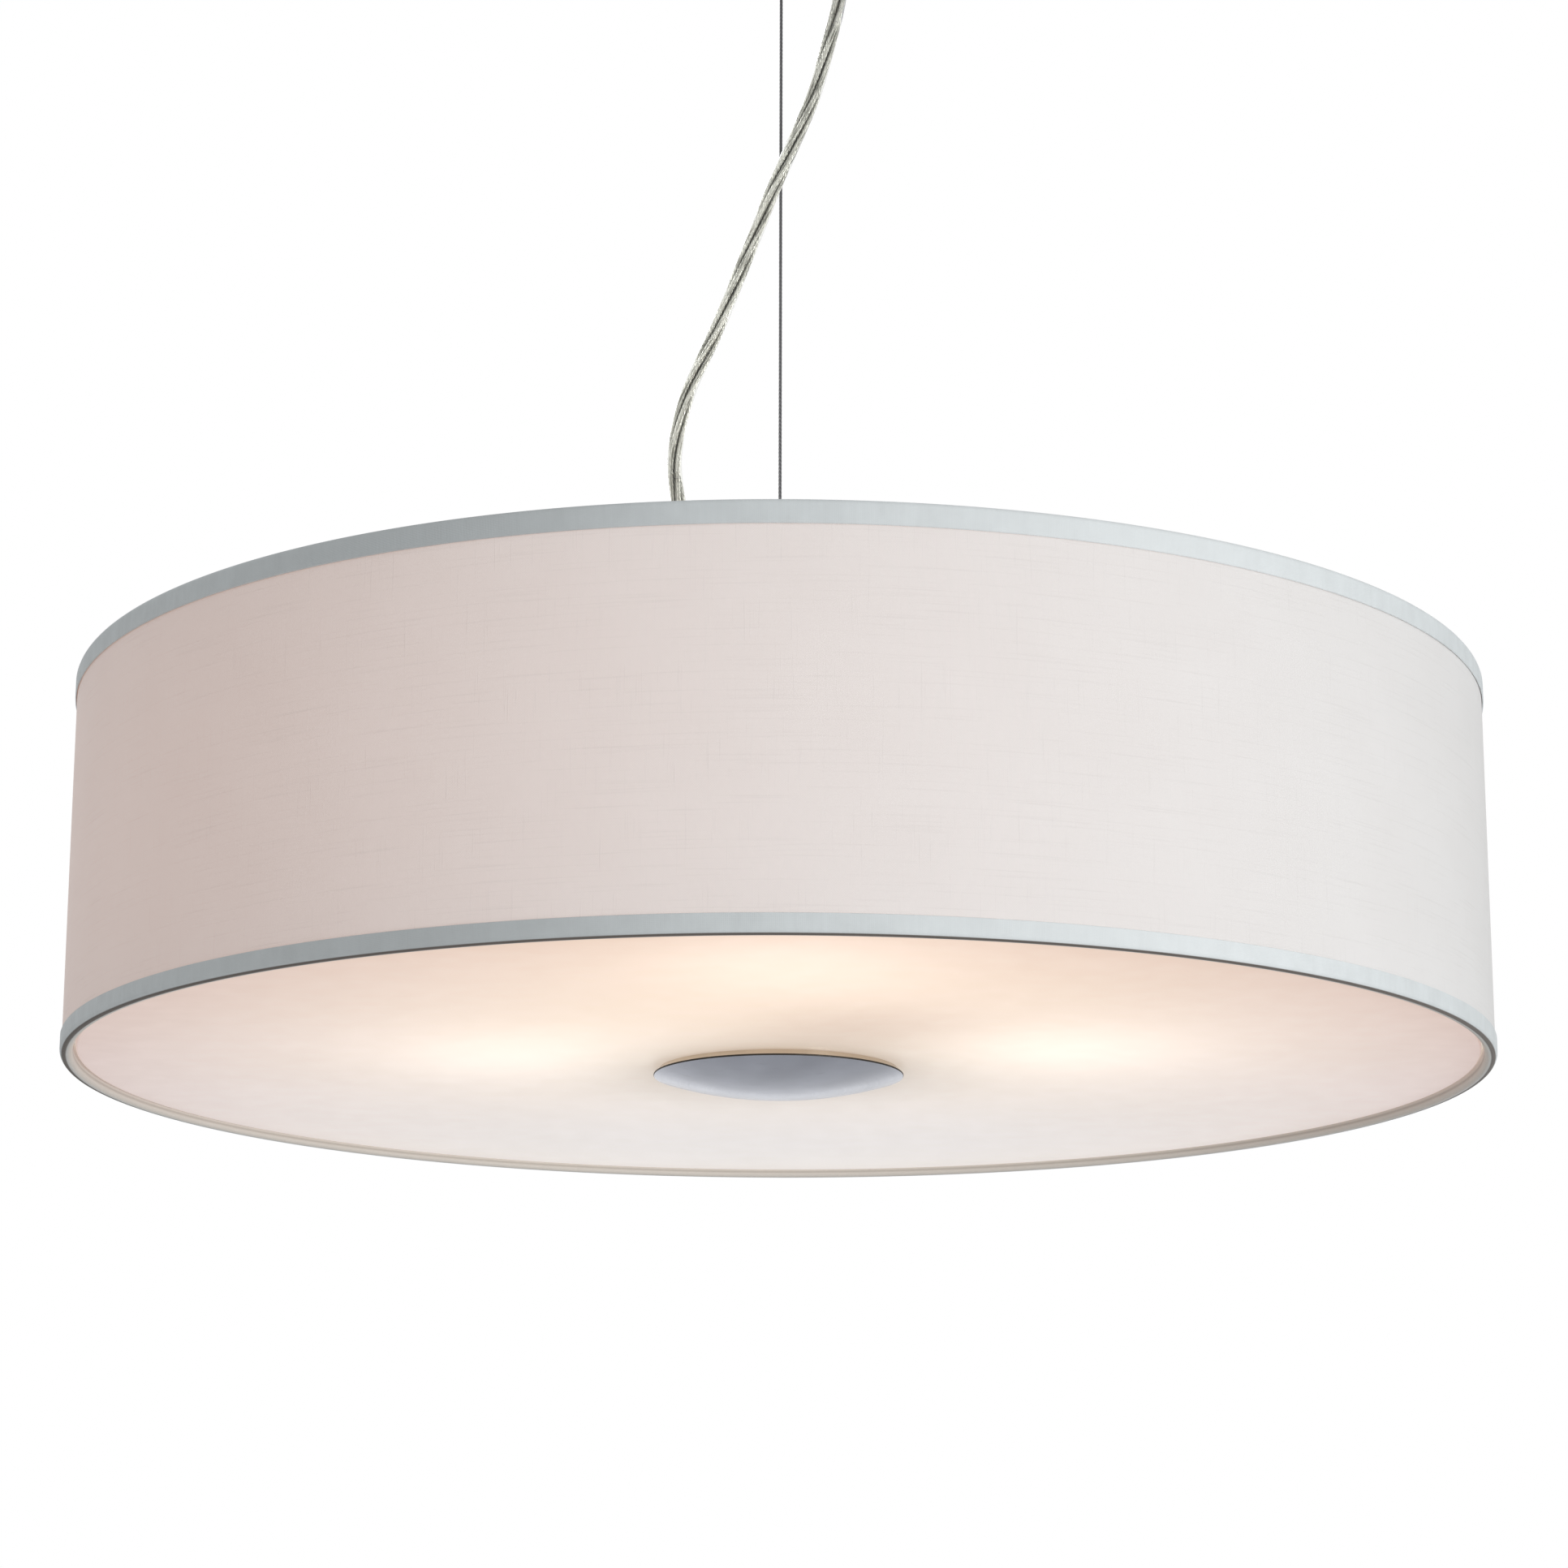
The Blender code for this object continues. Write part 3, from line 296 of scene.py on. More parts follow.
class Finish(Graph):
    """A Principled material that can be varied."""

    def __init__(self, name, colour, roughness, **values):
        self.material = bpy.data.materials.new(name)
        super().__init__(self.material)
        self.shader = self.tree.nodes["Principled BSDF"]
        self.place = self.node("ShaderNodeTexCoord").outputs["Object"]
        self.colour = (*colour, 1.0)
        self.set("Base Color", self.colour)
        self.set("Roughness", roughness)
        for name, value in values.items():
            self.set(name.replace("_", " "), value)

    def set(self, name, value):
        """Link or set one of the shader's inputs."""
        self.feed(self.shader.inputs[name], value)

    def split(self, place=None):
        """The x, y and z of a place, or else of the point itself."""
        return self.node("ShaderNodeSeparateXYZ", place or self.place).outputs[:3]

    def joined(self, x, y, z):
        """A vector from its three parts."""
        return self.node("ShaderNodeCombineXYZ", x, y, z).outputs[0]

    def grain(self, scale, detail=2.0, stretch=(1, 1, 1), place=None):
        """Noise from 0 to 1, finer along a stretched axis."""
        mapping = self.node("ShaderNodeMapping", place or self.place)
        mapping.inputs["Scale"].default_value = stretch
        made = self.node("ShaderNodeTexNoise", mapping.outputs[0])
        made.inputs["Scale"].default_value = scale
        made.inputs["Detail"].default_value = detail
        return made.outputs["Fac"]

    def product(self, *values):
        """Two or more values multiplied."""
        total = values[0]
        for value in values[1:]:
            total = self.calc("MULTIPLY", total, value)
        return total

    def square_sum(self, one, other):
        """The squares of two values, added."""
        return self.calc("ADD", self.product(one, one), self.product(other, other))

    def from_axis(self):
        """How far a point is from the lamp's axis."""
        x, y, _ = self.split()
        return self.calc("SQRT", self.square_sum(x, y))

    def ranged(self, value, low, high, to_low=0.0, to_high=1.0):
        """A value's place between low and high, from to_low to to_high and no further."""
        return self.node("ShaderNodeMapRange", value, low, high, to_low, to_high).outputs[0]

    def fitted(self, value, low, high):
        """Noise moved into the range from low to high."""
        return self.ranged(value, *NOISE_REACH, low, high)

    def shaded(self, share):
        """The base colour made darker."""
        return *(part * share for part in self.colour[:3]), 1.0

    def mixed(self, share, one, other):
        """A colour between two, which are inputs 6 and 7 of a Mix node."""
        made = self.node("ShaderNodeMix", data_type="RGBA")
        for socket, value in zip((made.inputs[0], made.inputs[6], made.inputs[7]), (share, one, other)):
            self.feed(socket, value)
        return made.outputs[2]

    def bell(self, value, middle, width):
        """1 where a value is at the middle, falling to nothing either side of it."""
        off = self.calc("DIVIDE", self.calc("SUBTRACT", value, middle), width)
        return self.calc("EXPONENT", self.product(off, off, -0.5))

    def bump(self, height, distance, strength=1.0):
        """Small relief in the surface."""
        made = self.node("ShaderNodeBump")
        self.feed(made.inputs["Height"], height)
        made.inputs["Distance"].default_value = distance
        made.inputs["Strength"].default_value = strength
        self.set("Normal", made.outputs[0])

    def mottled(self, share, scale, darker):
        """The base colour, a little darker in patches."""
        patches = self.fitted(self.grain(scale), 0.0, share)
        self.set("Base Color", self.mixed(patches, self.colour, self.shaded(darker)))

    def varied(self, roughness, spread, scale):
        """A roughness that wanders either side of its value."""
        cloud = self.grain(scale, 3.0)
        self.set("Roughness", self.fitted(cloud, roughness - spread, roughness + spread))


def turned_metal(name, colour, roughness):
    """Metal brushed in rings round the lamp's axis, with faint handling marks."""
    made = Finish(name, colour, roughness, Metallic=1.0)
    rings = made.grain(5200.0, place=made.joined(made.from_axis(), 0.0, made.split()[2]))
    smudge = made.grain(38.0, 3.0)
    both = made.calc("ADD", made.product(rings, 0.6), made.product(smudge, 0.4))
    made.set("Roughness", made.fitted(both, roughness - 0.06, roughness + 0.08))
    fleck = made.ranged(made.grain(150.0, 4.0, (1, 3, 1)), 0.64, 0.72, 0.0, 0.5)
    cloud = made.ranged(made.grain(45.0), 0.35, 0.65, 0.0, 0.45)
    marks = made.calc("MAXIMUM", fleck, cloud)
    made.set("Base Color", made.mixed(marks, made.colour, made.shaded(0.68)))
    made.bump(rings, 0.000012)
    return made.material


def cast_metal(name, colour, roughness, scale):
    """Plain drawn or plated metal, a little cloudy and finely grained."""
    made = Finish(name, colour, roughness, Metallic=1.0)
    made.mottled(0.8, scale, 0.86)
    made.varied(roughness, 0.09, scale * 3)
    made.bump(made.grain(scale * 12), 0.00001)
    return made.material


def moulded(name, colour, roughness, **values):
    """Moulded plastic: a slight swirl in its colour and a fine skin."""
    made = Finish(name, colour, roughness, **values)
    made.mottled(0.5, 60.0, 0.95)
    made.varied(roughness, 0.05, 300.0)
    made.bump(made.grain(2600.0, 1.0), 0.000006)
    return made.material


def powder_coat(name, colour, roughness):
    """White paint baked on steel, with its fine orange peel."""
    made = Finish(name, colour, roughness)
    made.mottled(0.5, 40.0, 0.95)
    made.varied(roughness, 0.06, 120.0)
    made.bump(made.grain(1500.0), 0.00002)
    return made.material


def striped_lead():
    """The earth lead's green insulation with its yellow stripe."""
    made = Finish("green_plastic", (0.10, 0.36, 0.07), 0.35)
    stripe = made.ranged(made.split()[1], -STRIPE_EDGE, STRIPE_EDGE)
    grain = made.fitted(made.grain(400.0), 0.94, 1.0)
    yellow = (0.78, 0.62, 0.05, 1.0)
    made.set("Base Color", made.mixed(made.product(stripe, grain), made.colour, yellow))
    made.varied(0.35, 0.05, 300.0)
    return made.material


def woven(made, across, along, pitch, slanted=False):
    """The height of a plain weave whose threads run across and along, or at a slant."""
    turn = 2 * math.pi / pitch
    if slanted:
        across, along = made.calc("ADD", across, along), made.calc("SUBTRACT", across, along)
        turn *= math.sqrt(0.5)
    weft = made.calc("SINE", made.product(across, turn))
    warp = made.calc("SINE", made.product(along, turn))
    return made.product(weft, warp)


def round_the_drum(made):
    """How far round the drum a point is, in metres of its wall, and its height and angle."""
    x, y, z = made.split()
    angle = made.calc("ARCTAN2", y, x)
    return made.product(angle, drum_radius), z, angle


def shade_cloth():
    """Fine white cotton with slubs, and a painted glow standing in for the bulbs' light through it."""
    made = Finish("shade_fabric", (0.815, 0.83, 0.83), 0.85, Sheen_Weight=0.15)
    around, up, angle = round_the_drum(made)
    weft = made.grain(1.0, 3.0, (22, 1100, 1), made.joined(around, up, 0.0))
    warp = made.grain(1.0, 3.0, (1100, 40, 1), made.joined(around, up, 0.0))
    cloud = made.grain(1.0, 2.0, (30, 30, 1), made.joined(around, up, 0.0))
    threads = made.calc("ADD", made.ranged(weft, 0.56, 0.74), made.ranged(warp, 0.60, 0.78))
    shade = made.calc("ADD", made.product(threads, 0.35), made.fitted(cloud, 0.0, 0.25))
    made.set("Base Color", made.mixed(shade, made.colour, (0.75, 0.755, 0.75, 1.0)))
    weave = woven(made, around, up, WEAVE_PITCH)
    made.bump(made.calc("ADD", made.product(weave, 0.5), threads), 0.00006, 0.8)
    low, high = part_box("shade_wall")
    # Painted light: a glow by angle, weaker toward the edges, through the lap and through the threads
    toward = made.calc("COSINE", made.calc("SUBTRACT", angle, GLOW_ANGLE))
    lobe = made.calc("POWER", made.ranged(toward, -1.0, 1.0), 2.0)
    level = made.ranged(up, low.z, high.z, -1.0, 1.0)
    middle = made.calc("SUBTRACT", 1.0, made.product(level, level, GLOW_EDGE_LOSS))
    lap = made.calc("ABSOLUTE", made.calc("SUBTRACT", angle, LAP_ANGLE))
    half_lap = LAP_WIDTH / 2 / drum_radius
    doubled = made.ranged(lap, half_lap, half_lap * GLOW_LAP_FADE, GLOW_THROUGH_LAP, 1.0)
    thin = made.calc("SUBTRACT", 1.0, made.product(threads, 0.10))
    glow = made.ranged(lobe, 0.0, 1.0, GLOW_LEAST, GLOW_MOST)
    made.set("Emission Color", (*GLOW_COLOUR, 1.0))
    made.set("Emission Strength", made.product(glow, middle, doubled, thin))
    return made.material


def lining_film():
    """The smooth white film that the cloth is bonded to."""
    made = Finish("lining_film", (0.86, 0.85, 0.82), 0.45)
    made.mottled(0.4, 30.0, 0.95)
    made.varied(0.45, 0.05, 80.0)
    made.bump(made.grain(220.0), 0.00003)
    return made.material


def hem_tape():
    """The cool white bias tape that binds the shade's edges, its threads at a slant."""
    made = Finish("trim_fabric", (0.77, 0.82, 0.835), 0.9, Sheen_Weight=0.15)
    around, up, angle = round_the_drum(made)
    reach = made.from_axis()
    cloud = made.grain(1.0, 3.0, (90, 160, 90))
    crease = made.grain(1.0, 2.0, (420, 60, 1), made.joined(around, up, 0.0))
    shade = made.ranged(made.calc("ADD", cloud, made.product(crease, 0.5)), 0.5, 1.0)
    cloth = made.mixed(made.product(shade, 0.6), made.colour, (0.65, 0.69, 0.70, 1.0))
    # Painted shade on a stretch at the left front and painted light on a stretch further right, by angle
    dim = made.product(made.bell(angle, TAPE_PAINTED_SHADE_ANGLE, TAPE_PAINTED_SHADE_WIDTH), 0.62)
    lit = made.product(made.bell(angle, TAPE_PAINTED_LIGHT_ANGLE, TAPE_PAINTED_LIGHT_WIDTH), 0.45)
    cloth = made.mixed(dim, cloth, (0.46, 0.49, 0.50, 1.0))
    cloth = made.mixed(lit, cloth, (0.93, 0.97, 0.98, 1.0))
    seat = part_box("diffuser")[0].z
    # A painted shadow line on the tape's inner side, just below where the diffuser sits
    seat_shadow = made.product(made.bell(up, seat - SEAT_SHADOW_DROP, SEAT_SHADOW_WIDTH), 0.45)
    # The bulbs' warm light painted on the tape's inner side
    inner_side_painted_glow = made.mixed(seat_shadow, (0.80, 0.745, 0.68, 1.0), (0.30, 0.26, 0.22, 1.0))
    cloth = made.mixed(made.ranged(reach, HEM_INSIDE, HEM_OUTSIDE, 1.0, 0.0), cloth, inner_side_painted_glow)
    low, _, outer = span("bottom_trim")
    # Painted shade on the underside of the near hem's fold, fading toward the back
    under_hem_shade = made.product(
        made.ranged(up, low + UNDER_SHADE_TOP, low + UNDER_SHADE_GONE, 1.0, 0.0),
        made.ranged(reach, outer - UNDER_SHADE_INSIDE, outer - UNDER_SHADE_OUTSIDE),
        made.ranged(made.split()[1], UNDER_SHADE_FADE_FROM, UNDER_SHADE_FADE_TO, 1.0, 0.0),
    )
    made.set("Base Color", made.mixed(under_hem_shade, cloth, (0.14, 0.12, 0.105, 1.0)))
    weave = woven(made, around, up, TAPE_WEAVE_PITCH, slanted=True)
    made.bump(made.calc("ADD", made.product(weave, 0.4), made.product(crease, 1.2)), 0.00008, 0.8)
    return made.material


def frosted_disc():
    """Frosted acrylic with the bulbs' warm light painted on it as its glow."""
    made = Finish("diffuser_plastic", (0.42, 0.41, 0.40), 0.5, IOR=1.49)
    x, y, _ = made.split()

    def fading(square, size):
        """1 where a squared distance is nothing, falling away over a size."""
        return made.calc("EXPONENT", made.product(square, -0.5 / size**2))

    def spread(places, size):
        """How near a point is to any of the places, 1 at each one."""
        total = 0.0
        for place_x, place_y in places:
            off_x, off_y = made.calc("SUBTRACT", x, place_x), made.calc("SUBTRACT", y, place_y)
            total = made.calc("ADD", total, fading(made.square_sum(off_x, off_y), size))
        return total

    square = made.square_sum(x, y)
    aside = made.calc("ABSOLUTE", made.calc("DIVIDE", x, DISC_REACH))
    outside = made.calc("MAXIMUM", square, span("finial")[2] ** 2)
    # Painted light and painted shade, summed into the disc's emission
    terms = (
        (made.fitted(made.grain(14.0), 0.97, 1.03), DISC_LEVEL),
        (made.calc("DIVIDE", y, DISC_REACH), DISC_BACKWARD),
        (made.calc("DIVIDE", square, DISC_REACH**2), DISC_OUTWARD),
        (made.calc("POWER", aside, 4.0), DISC_SIDEWAYS),
        (spread(BULB_SPOTS, CORE_SIZE), CORE_LIGHT),
        (spread(BULB_SPOTS, HALO_SIZE), HALO_LIGHT),
        (fading(outside, FINIAL_SHADE_SIZE), FINIAL_SHADE),
        (spread((HOLDER_PLACE,), HOLDER_SHADE_SIZE), HOLDER_SHADE),
    )
    light = (0.0, 0.0, 0.0)
    for share, colour in terms:
        parts = made.joined(share, share, share), colour, light
        light = made.node("ShaderNodeVectorMath", *parts, operation="MULTIPLY_ADD").outputs[0]
    made.set("Emission Color", light)
    made.set("Emission Strength", 1.0)
    made.varied(0.5, 0.05, 90.0)
    made.bump(made.grain(900.0), 0.00001)
    return made.material


def bulb_glass():
    """Frosted glass, lit from inside, its globe brighter and whiter than its neck."""
    made = Finish("bulb_glass", (0.92, 0.90, 0.86), 0.4)
    low, high, outer = span("bulb_glass_1", drop_axis(BULB_ANGLES[0]))
    globe = made.ranged(made.from_axis(), low, high - outer)
    cloud = made.fitted(made.grain(45.0), 0.95, 1.0)
    made.set("Emission Color", made.mixed(globe, (1.0, 0.62, 0.33, 1.0), (1.0, 0.84, 0.62, 1.0)))
    made.set("Emission Strength", made.product(made.ranged(globe, 0.0, 1.0, 0.8, 3.4), cloud))
    made.varied(0.4, 0.04, 120.0)
    return made.material


def cord_cores():
    """Tinned strands seen through clear insulation, laid at a slant round each core, with dark streaks and
    painted shade between strands and cores.
    """
    made = Finish("cord_core", (1.0, 1.0, 0.94), 0.30, Metallic=0.6)
    lay = made.node("ShaderNodeUVMap", uv_map="lay")
    along, around, _ = made.split(lay.outputs[0])
    advance = made.product(along, 2 * math.pi * CORE_STRANDS / CORE_STRAND_PITCH)
    turn = made.product(around, 2 * math.pi * CORE_STRANDS)
    strands = made.calc("SINE", made.calc("ADD", advance, turn))
    streak = made.ranged(made.grain(1.0, 3.0, (85, 9, 1), lay.outputs[0]), 0.47, 0.61, 0.0, 0.86)
    # Painted shade in the valley on each core's inner side, where the cores meet, and in the grooves
    # between strands
    inward = made.calc("ABSOLUTE", made.calc("SUBTRACT", around, 0.5))
    painted_valley_shade = made.ranged(inward, 0.18, 0.32, 1.0, 0.0)
    streaks_and_painted_shade = made.calc("MAXIMUM", made.ranged(strands, -1.0, -0.3, 0.45, 0.0), streak)
    streaks_and_painted_shade = made.calc("MAXIMUM", streaks_and_painted_shade, painted_valley_shade)
    made.set("Base Color", made.mixed(streaks_and_painted_shade, made.colour, (0.13, 0.13, 0.10, 1.0)))
    made.varied(0.32, 0.08, 500.0)
    made.bump(strands, 0.00008)
    return made.material


def cord_skin():
    """Clear PVC, faintly yellow."""
    made = Finish("cord_skin", (0.86, 0.865, 0.83), 0.05, Transmission_Weight=1.0, IOR=1.45)
    made.varied(0.10, 0.03, 220.0)
    made.bump(made.grain(160.0), 0.00004)
    return made.material


FINISHES = {
    "zinc_plate": cast_metal("zinc_plate", (0.60, 0.61, 0.62), 0.42, 90.0),
    "brass": cast_metal("brass", (0.72, 0.54, 0.24), 0.32, 120.0),
    "steel": cast_metal("steel", (0.42, 0.42, 0.42), 0.36, 140.0),
    "aluminium": cast_metal("aluminium", (0.78, 0.78, 0.79), 0.34, 110.0),
    "satin_nickel": turned_metal("satin_nickel", (0.44, 0.46, 0.53), 0.20),
    "white_plastic": moulded("white_plastic", (0.86, 0.86, 0.83), 0.32),
    "clear_plastic": moulded("clear_plastic", (0.93, 0.93, 0.89), 0.16, Transmission_Weight=0.85, IOR=1.50),
    "brown_plastic": moulded("brown_plastic", (0.16, 0.06, 0.03), 0.35),
    "blue_plastic": moulded("blue_plastic", (0.04, 0.16, 0.46), 0.35),
    "green_plastic": striped_lead(),
    "white_metal": powder_coat("white_metal", (0.85, 0.85, 0.83), 0.38),
    "shade_fabric": shade_cloth(),
    "trim_fabric": hem_tape(),
    "diffuser_plastic": frosted_disc(),
    "rubber": moulded("rubber", (0.045, 0.045, 0.045), 0.6),
    "bulb_glass": bulb_glass(),
}
lining = lining_film()
core_finish = cord_cores()


def new_object(name, data):
    """An object in the scene with its data."""
    made = bpy.data.objects.new(name, data)
    bpy.context.scene.collection.objects.link(made)
    return made


def mesh_piece(name, shape, material):
    """An object from a bmesh, shaded smooth but for its corners."""
    bmesh.ops.recalc_face_normals(shape, faces=shape.faces)
    data = bpy.data.meshes.new(name)
    shape.to_mesh(data)
    shape.free()
    data.shade_smooth()
    data.set_sharp_from_angle(angle=SMOOTH_ANGLE)
    data.materials.append(material)
    return new_object(name, data)


def dress(made, node, replaces=True):
    """Put a piece on a CAD node's body, in its stead unless told not to."""
    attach(made, homes[node])
    if replaces:
        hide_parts(node)
    return made


def outline_of(node, axis=UPRIGHT):
    """A turned node's closed outline of (radius, height) points: its mesh at one angle."""
    back = axis.inverted()
    places = [back @ point.co for point in nodes[node].data.vertices]
    turns = {
        index: math.atan2(place.y, place.x)
        for index, place in enumerate(places) if place.xy.length > MERGE * 10
    }
    wanted = min(turns.values(), key=lambda turn: abs(turn - math.pi / 2))
    links = {}
    for edge in nodes[node].data.edges:
        if all(abs(turns.get(index, wanted) - wanted) < SAME_TURN for index in edge.vertices):
            held = [places[index] for index in edge.vertices]
            ends = [(round(place.xy.length, DIGITS), round(place.z, DIGITS)) for place in held]
            if ends[0] != ends[1]:
                links.setdefault(ends[0], set()).add(ends[1])
                links.setdefault(ends[1], set()).add(ends[0])
    outline = [min(links, key=lambda point: (len(links[point]), point))]
    while True:
        ahead = [point for point in links[outline[-1]] if point not in outline]
        if not ahead:
            break
        outline.append(min(ahead))
    if len(links[outline[0]]) == 1:
        outline = [(0.0, outline[0][1]), *outline, (0.0, outline[-1][1])]
    return list(dict.fromkeys(outline))


def ease_of(node):
    """How far a node's corners are eased. Those that are numbered are alike."""
    return EASES.get(node.rstrip("_123"), PLAIN_EASE)


def eased(points, reach, steps=4):
    """A closed outline with its corners rounded, those on the axis apart."""
    smooth = []
    for index, here in enumerate(points):
        here = Vector(here)
        back = Vector(points[index - 1]) - here
        on = Vector(points[(index + 1) % len(points)]) - here
        if here.x == 0:
            smooth.append(here)
            continue
        start = here + back.normalized() * min(reach, back.length * EASE_SHARE)
        end = here + on.normalized() * min(reach, on.length * EASE_SHARE)
        for step in range(steps + 1):
            share = step / steps
            smooth.append(start * (1 - share) ** 2 + here * 2 * share * (1 - share) + end * share**2)
    return smooth


def divided(points, longest):
    """A closed outline whose lines are cut into steps no longer than this, but on the axis."""
    cut = []
    for one, other in zip(points, [*points[1:], points[0]]):
        one, other = Vector(one), Vector(other)
        along = one.x == 0 and other.x == 0
        count = 1 if along else max(1, math.ceil((other - one).length / longest))
        cut += [one.lerp(other, step / count) for step in range(count)]
    return cut


def turned(name, outline, sides, material, axis=UPRIGHT, vary=None):
    """A piece turned about an axis from (radius, height) points. vary moves a point's radius."""
    shape = bmesh.new()
    rings = []
    for radius, height in outline:
        if radius == 0:
            rings.append([shape.verts.new(axis @ Vector((0, 0, height)))])
            continue
        ring = []
        for side in range(sides):
            angle = 2 * math.pi * side / sides
            reach = vary(radius, height, angle) if vary else radius
            place = Vector((reach * math.cos(angle), reach * math.sin(angle), height))
            ring.append(shape.verts.new(axis @ place))
        rings.append(ring)
    for index, ring in enumerate(rings):
        other = rings[(index + 1) % len(rings)]
        if len(ring) == len(other) == 1:
            continue
        for side in range(sides):
            after = (side + 1) % sides
            corners = [ring[side % len(ring)], other[side % len(other)]]
            corners += [other[after % len(other)], ring[after % len(ring)]]
            shape.faces.new(list(dict.fromkeys(corners)))
    return mesh_piece(name, shape, material)


def turn_again(node, sides=FITTING_SIDES, axis=UPRIGHT, vary=None, step=None, outline=None):
    """A turned CAD node with more sides and eased corners. vary moves a point's radius."""
    outline = eased(outline or outline_of(node, axis), ease_of(node))
    if step:
        outline = divided(outline, step)
    dress(turned(f"{node}_turned", outline, sides, FINISHES[slots[node]], axis, vary), node)


def softened(node):
    """A copy of a flat-sided CAD piece with its edges broken."""
    shape = bmesh.new()
    shape.from_mesh(nodes[node].data)
    bmesh.ops.remove_doubles(shape, verts=shape.verts, dist=MERGE)
    bmesh.ops.dissolve_limit(shape, angle_limit=math.radians(1), verts=shape.verts, edges=shape.edges)
    edges = [edge for edge in shape.edges if edge.calc_face_angle(0.0) > SMOOTH_ANGLE]
    bmesh.ops.bevel(
        shape, geom=edges, offset=ease_of(node), segments=2, profile=0.6, affect="EDGES", clamp_overlap=True
    )
    dress(mesh_piece(f"{node}_eased", shape, FINISHES[slots[node]]), node)


def turn_ribbed(node, start, end, count, depth, step, slant=0.0, axis=UPRIGHT):
    """A turned node with straight or crossing ribs between two distances from its end."""
    _, high, outer = span(node, axis)
    low, high = high - start, high - end

    def ribbed(radius, height, angle):
        if radius < outer - depth or not low < height < high:
            return radius
        turn = slant * (height - low)
        rise = max(math.cos(count * angle + turn), math.cos(count * angle - turn))
        return radius - depth * (0.5 - 0.5 * rise)

    turn_again(node, 2 * FITTING_SIDES, axis, ribbed, step)


def turn_threaded(node, pitch, depth, sides, step, after=0.0, before=0.0, axis=UPRIGHT):
    """A turned node with a right-hand thread from after its start to before its end."""
    low, high, outer = span(node, axis)
    low, high = low + after, high - before

    def threaded(radius, height, angle):
        if radius < outer - THREAD_REACH or not low < height < high:
            return radius
        return radius - depth * (0.5 - 0.5 * math.cos(2 * math.pi * height / pitch - angle))

    turn_again(node, sides, axis, threaded, step)


def smooth_route(points, spacing):
    """Points evenly spaced on a smooth curve through a route's own points."""
    knots = [Vector(point) for point in points]
    knots = [2 * knots[0] - knots[1], *knots, 2 * knots[-1] - knots[-2]]
    fine = []
    for before, start, end, after in zip(knots, knots[1:], knots[2:], knots[3:]):
        for step in range(ROUTE_STEPS):
            t = step / ROUTE_STEPS
            leave, arrive = (end - before) / 2, (after - start) / 2
            fine.append(
                start * (2 * t**3 - 3 * t**2 + 1)
                + end * (3 * t**2 - 2 * t**3)
                + leave * (t**3 - 2 * t**2 + t)
                + arrive * (t**3 - t**2)
            )
    fine.append(knots[-2])
    along = [0.0]
    for one, other in zip(fine, fine[1:]):
        along.append(along[-1] + (other - one).length)
    count = max(2, round(along[-1] / spacing))
    even, at = [], 0
    for number in range(count + 1):
        wanted = along[-1] * number / count
        while at < len(fine) - 2 and along[at + 1] < wanted:
            at += 1
        share = (wanted - along[at]) / (along[at + 1] - along[at])
        even.append(fine[at].lerp(fine[at + 1], share))
    return even


def tube(shape, path, radius, sides, orbit=0.0, pitch=1.0, phase=0.0):
    """A tube along a path, or winding round it at an orbit, added to a bmesh with its lay."""
    lay = shape.loops.layers.uv.get("lay") or shape.loops.layers.uv.new("lay")
    ways = [(b - a).normalized() for a, b in zip(path, path[1:])]
    ways.append(ways[-1])
    side_way = ways[0].orthogonal().normalized()
    along, centres, starts = 0.0, [], []
    for index, (place, way) in enumerate(zip(path, ways)):
        side_way = (side_way - way * side_way.dot(way)).normalized()
        other_way = way.cross(side_way)
        if index:
            along += (place - path[index - 1]).length
        turn = phase + 2 * math.pi * along / pitch
        centre = place + orbit * (math.cos(turn) * side_way + math.sin(turn) * other_way)
        centres.append(centre)
        starts.append((side_way.copy(), along))
    rings = []
    for index, centre in enumerate(centres):
        ahead = centres[min(index + 1, len(centres) - 1)] - centres[max(index - 1, 0)]
        ahead.normalize()
        out = centre - path[index] if orbit else starts[index][0]
        one = (out - ahead * out.dot(ahead)).normalized()
        two = ahead.cross(one)
        rings.append([
            shape.verts.new(centre + radius * (math.cos(a) * one + math.sin(a) * two))
            for a in (2 * math.pi * side / sides for side in range(sides))
        ])
    for index in range(len(rings) - 1):
        for side in range(sides):
            after = (side + 1) % sides
            face = shape.faces.new(
                (rings[index][side], rings[index][after], rings[index + 1][after], rings[index + 1][side])
            )
            spots = ((index, side), (index, side + 1), (index + 1, side + 1), (index + 1, side))
            for loop, (ring, step) in zip(face.loops, spots):
                loop[lay].uv = (starts[ring][1], step / sides)
    shape.faces.new(reversed(rings[0]))
    shape.faces.new(rings[-1])


def build_cord():
    """Clear sheath over three tinned cores that twist, from the lamp's grip to the canopy's."""
    path = smooth_route(CORD_ROUTE, CORD_STEP)
    shape = bmesh.new()
    tube(shape, path, CORD_DIAMETER / 2, CORD_SIDES)
    sheath = mesh_piece("cord_sheath", shape, cord_skin())
    cores = []
    for number in range(CORES):
        shape = bmesh.new()
        phase = number * 2 * math.pi / CORES
        tube(shape, path[1:-1], CORE_RADIUS, CORE_SIDES, CORE_ORBIT, CORE_PITCH, phase)
        cores.append(mesh_piece(f"cord_core_{number + 1}", shape, core_finish))
    for made in (sheath, *cores):
        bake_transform(made)
    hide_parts("cord")


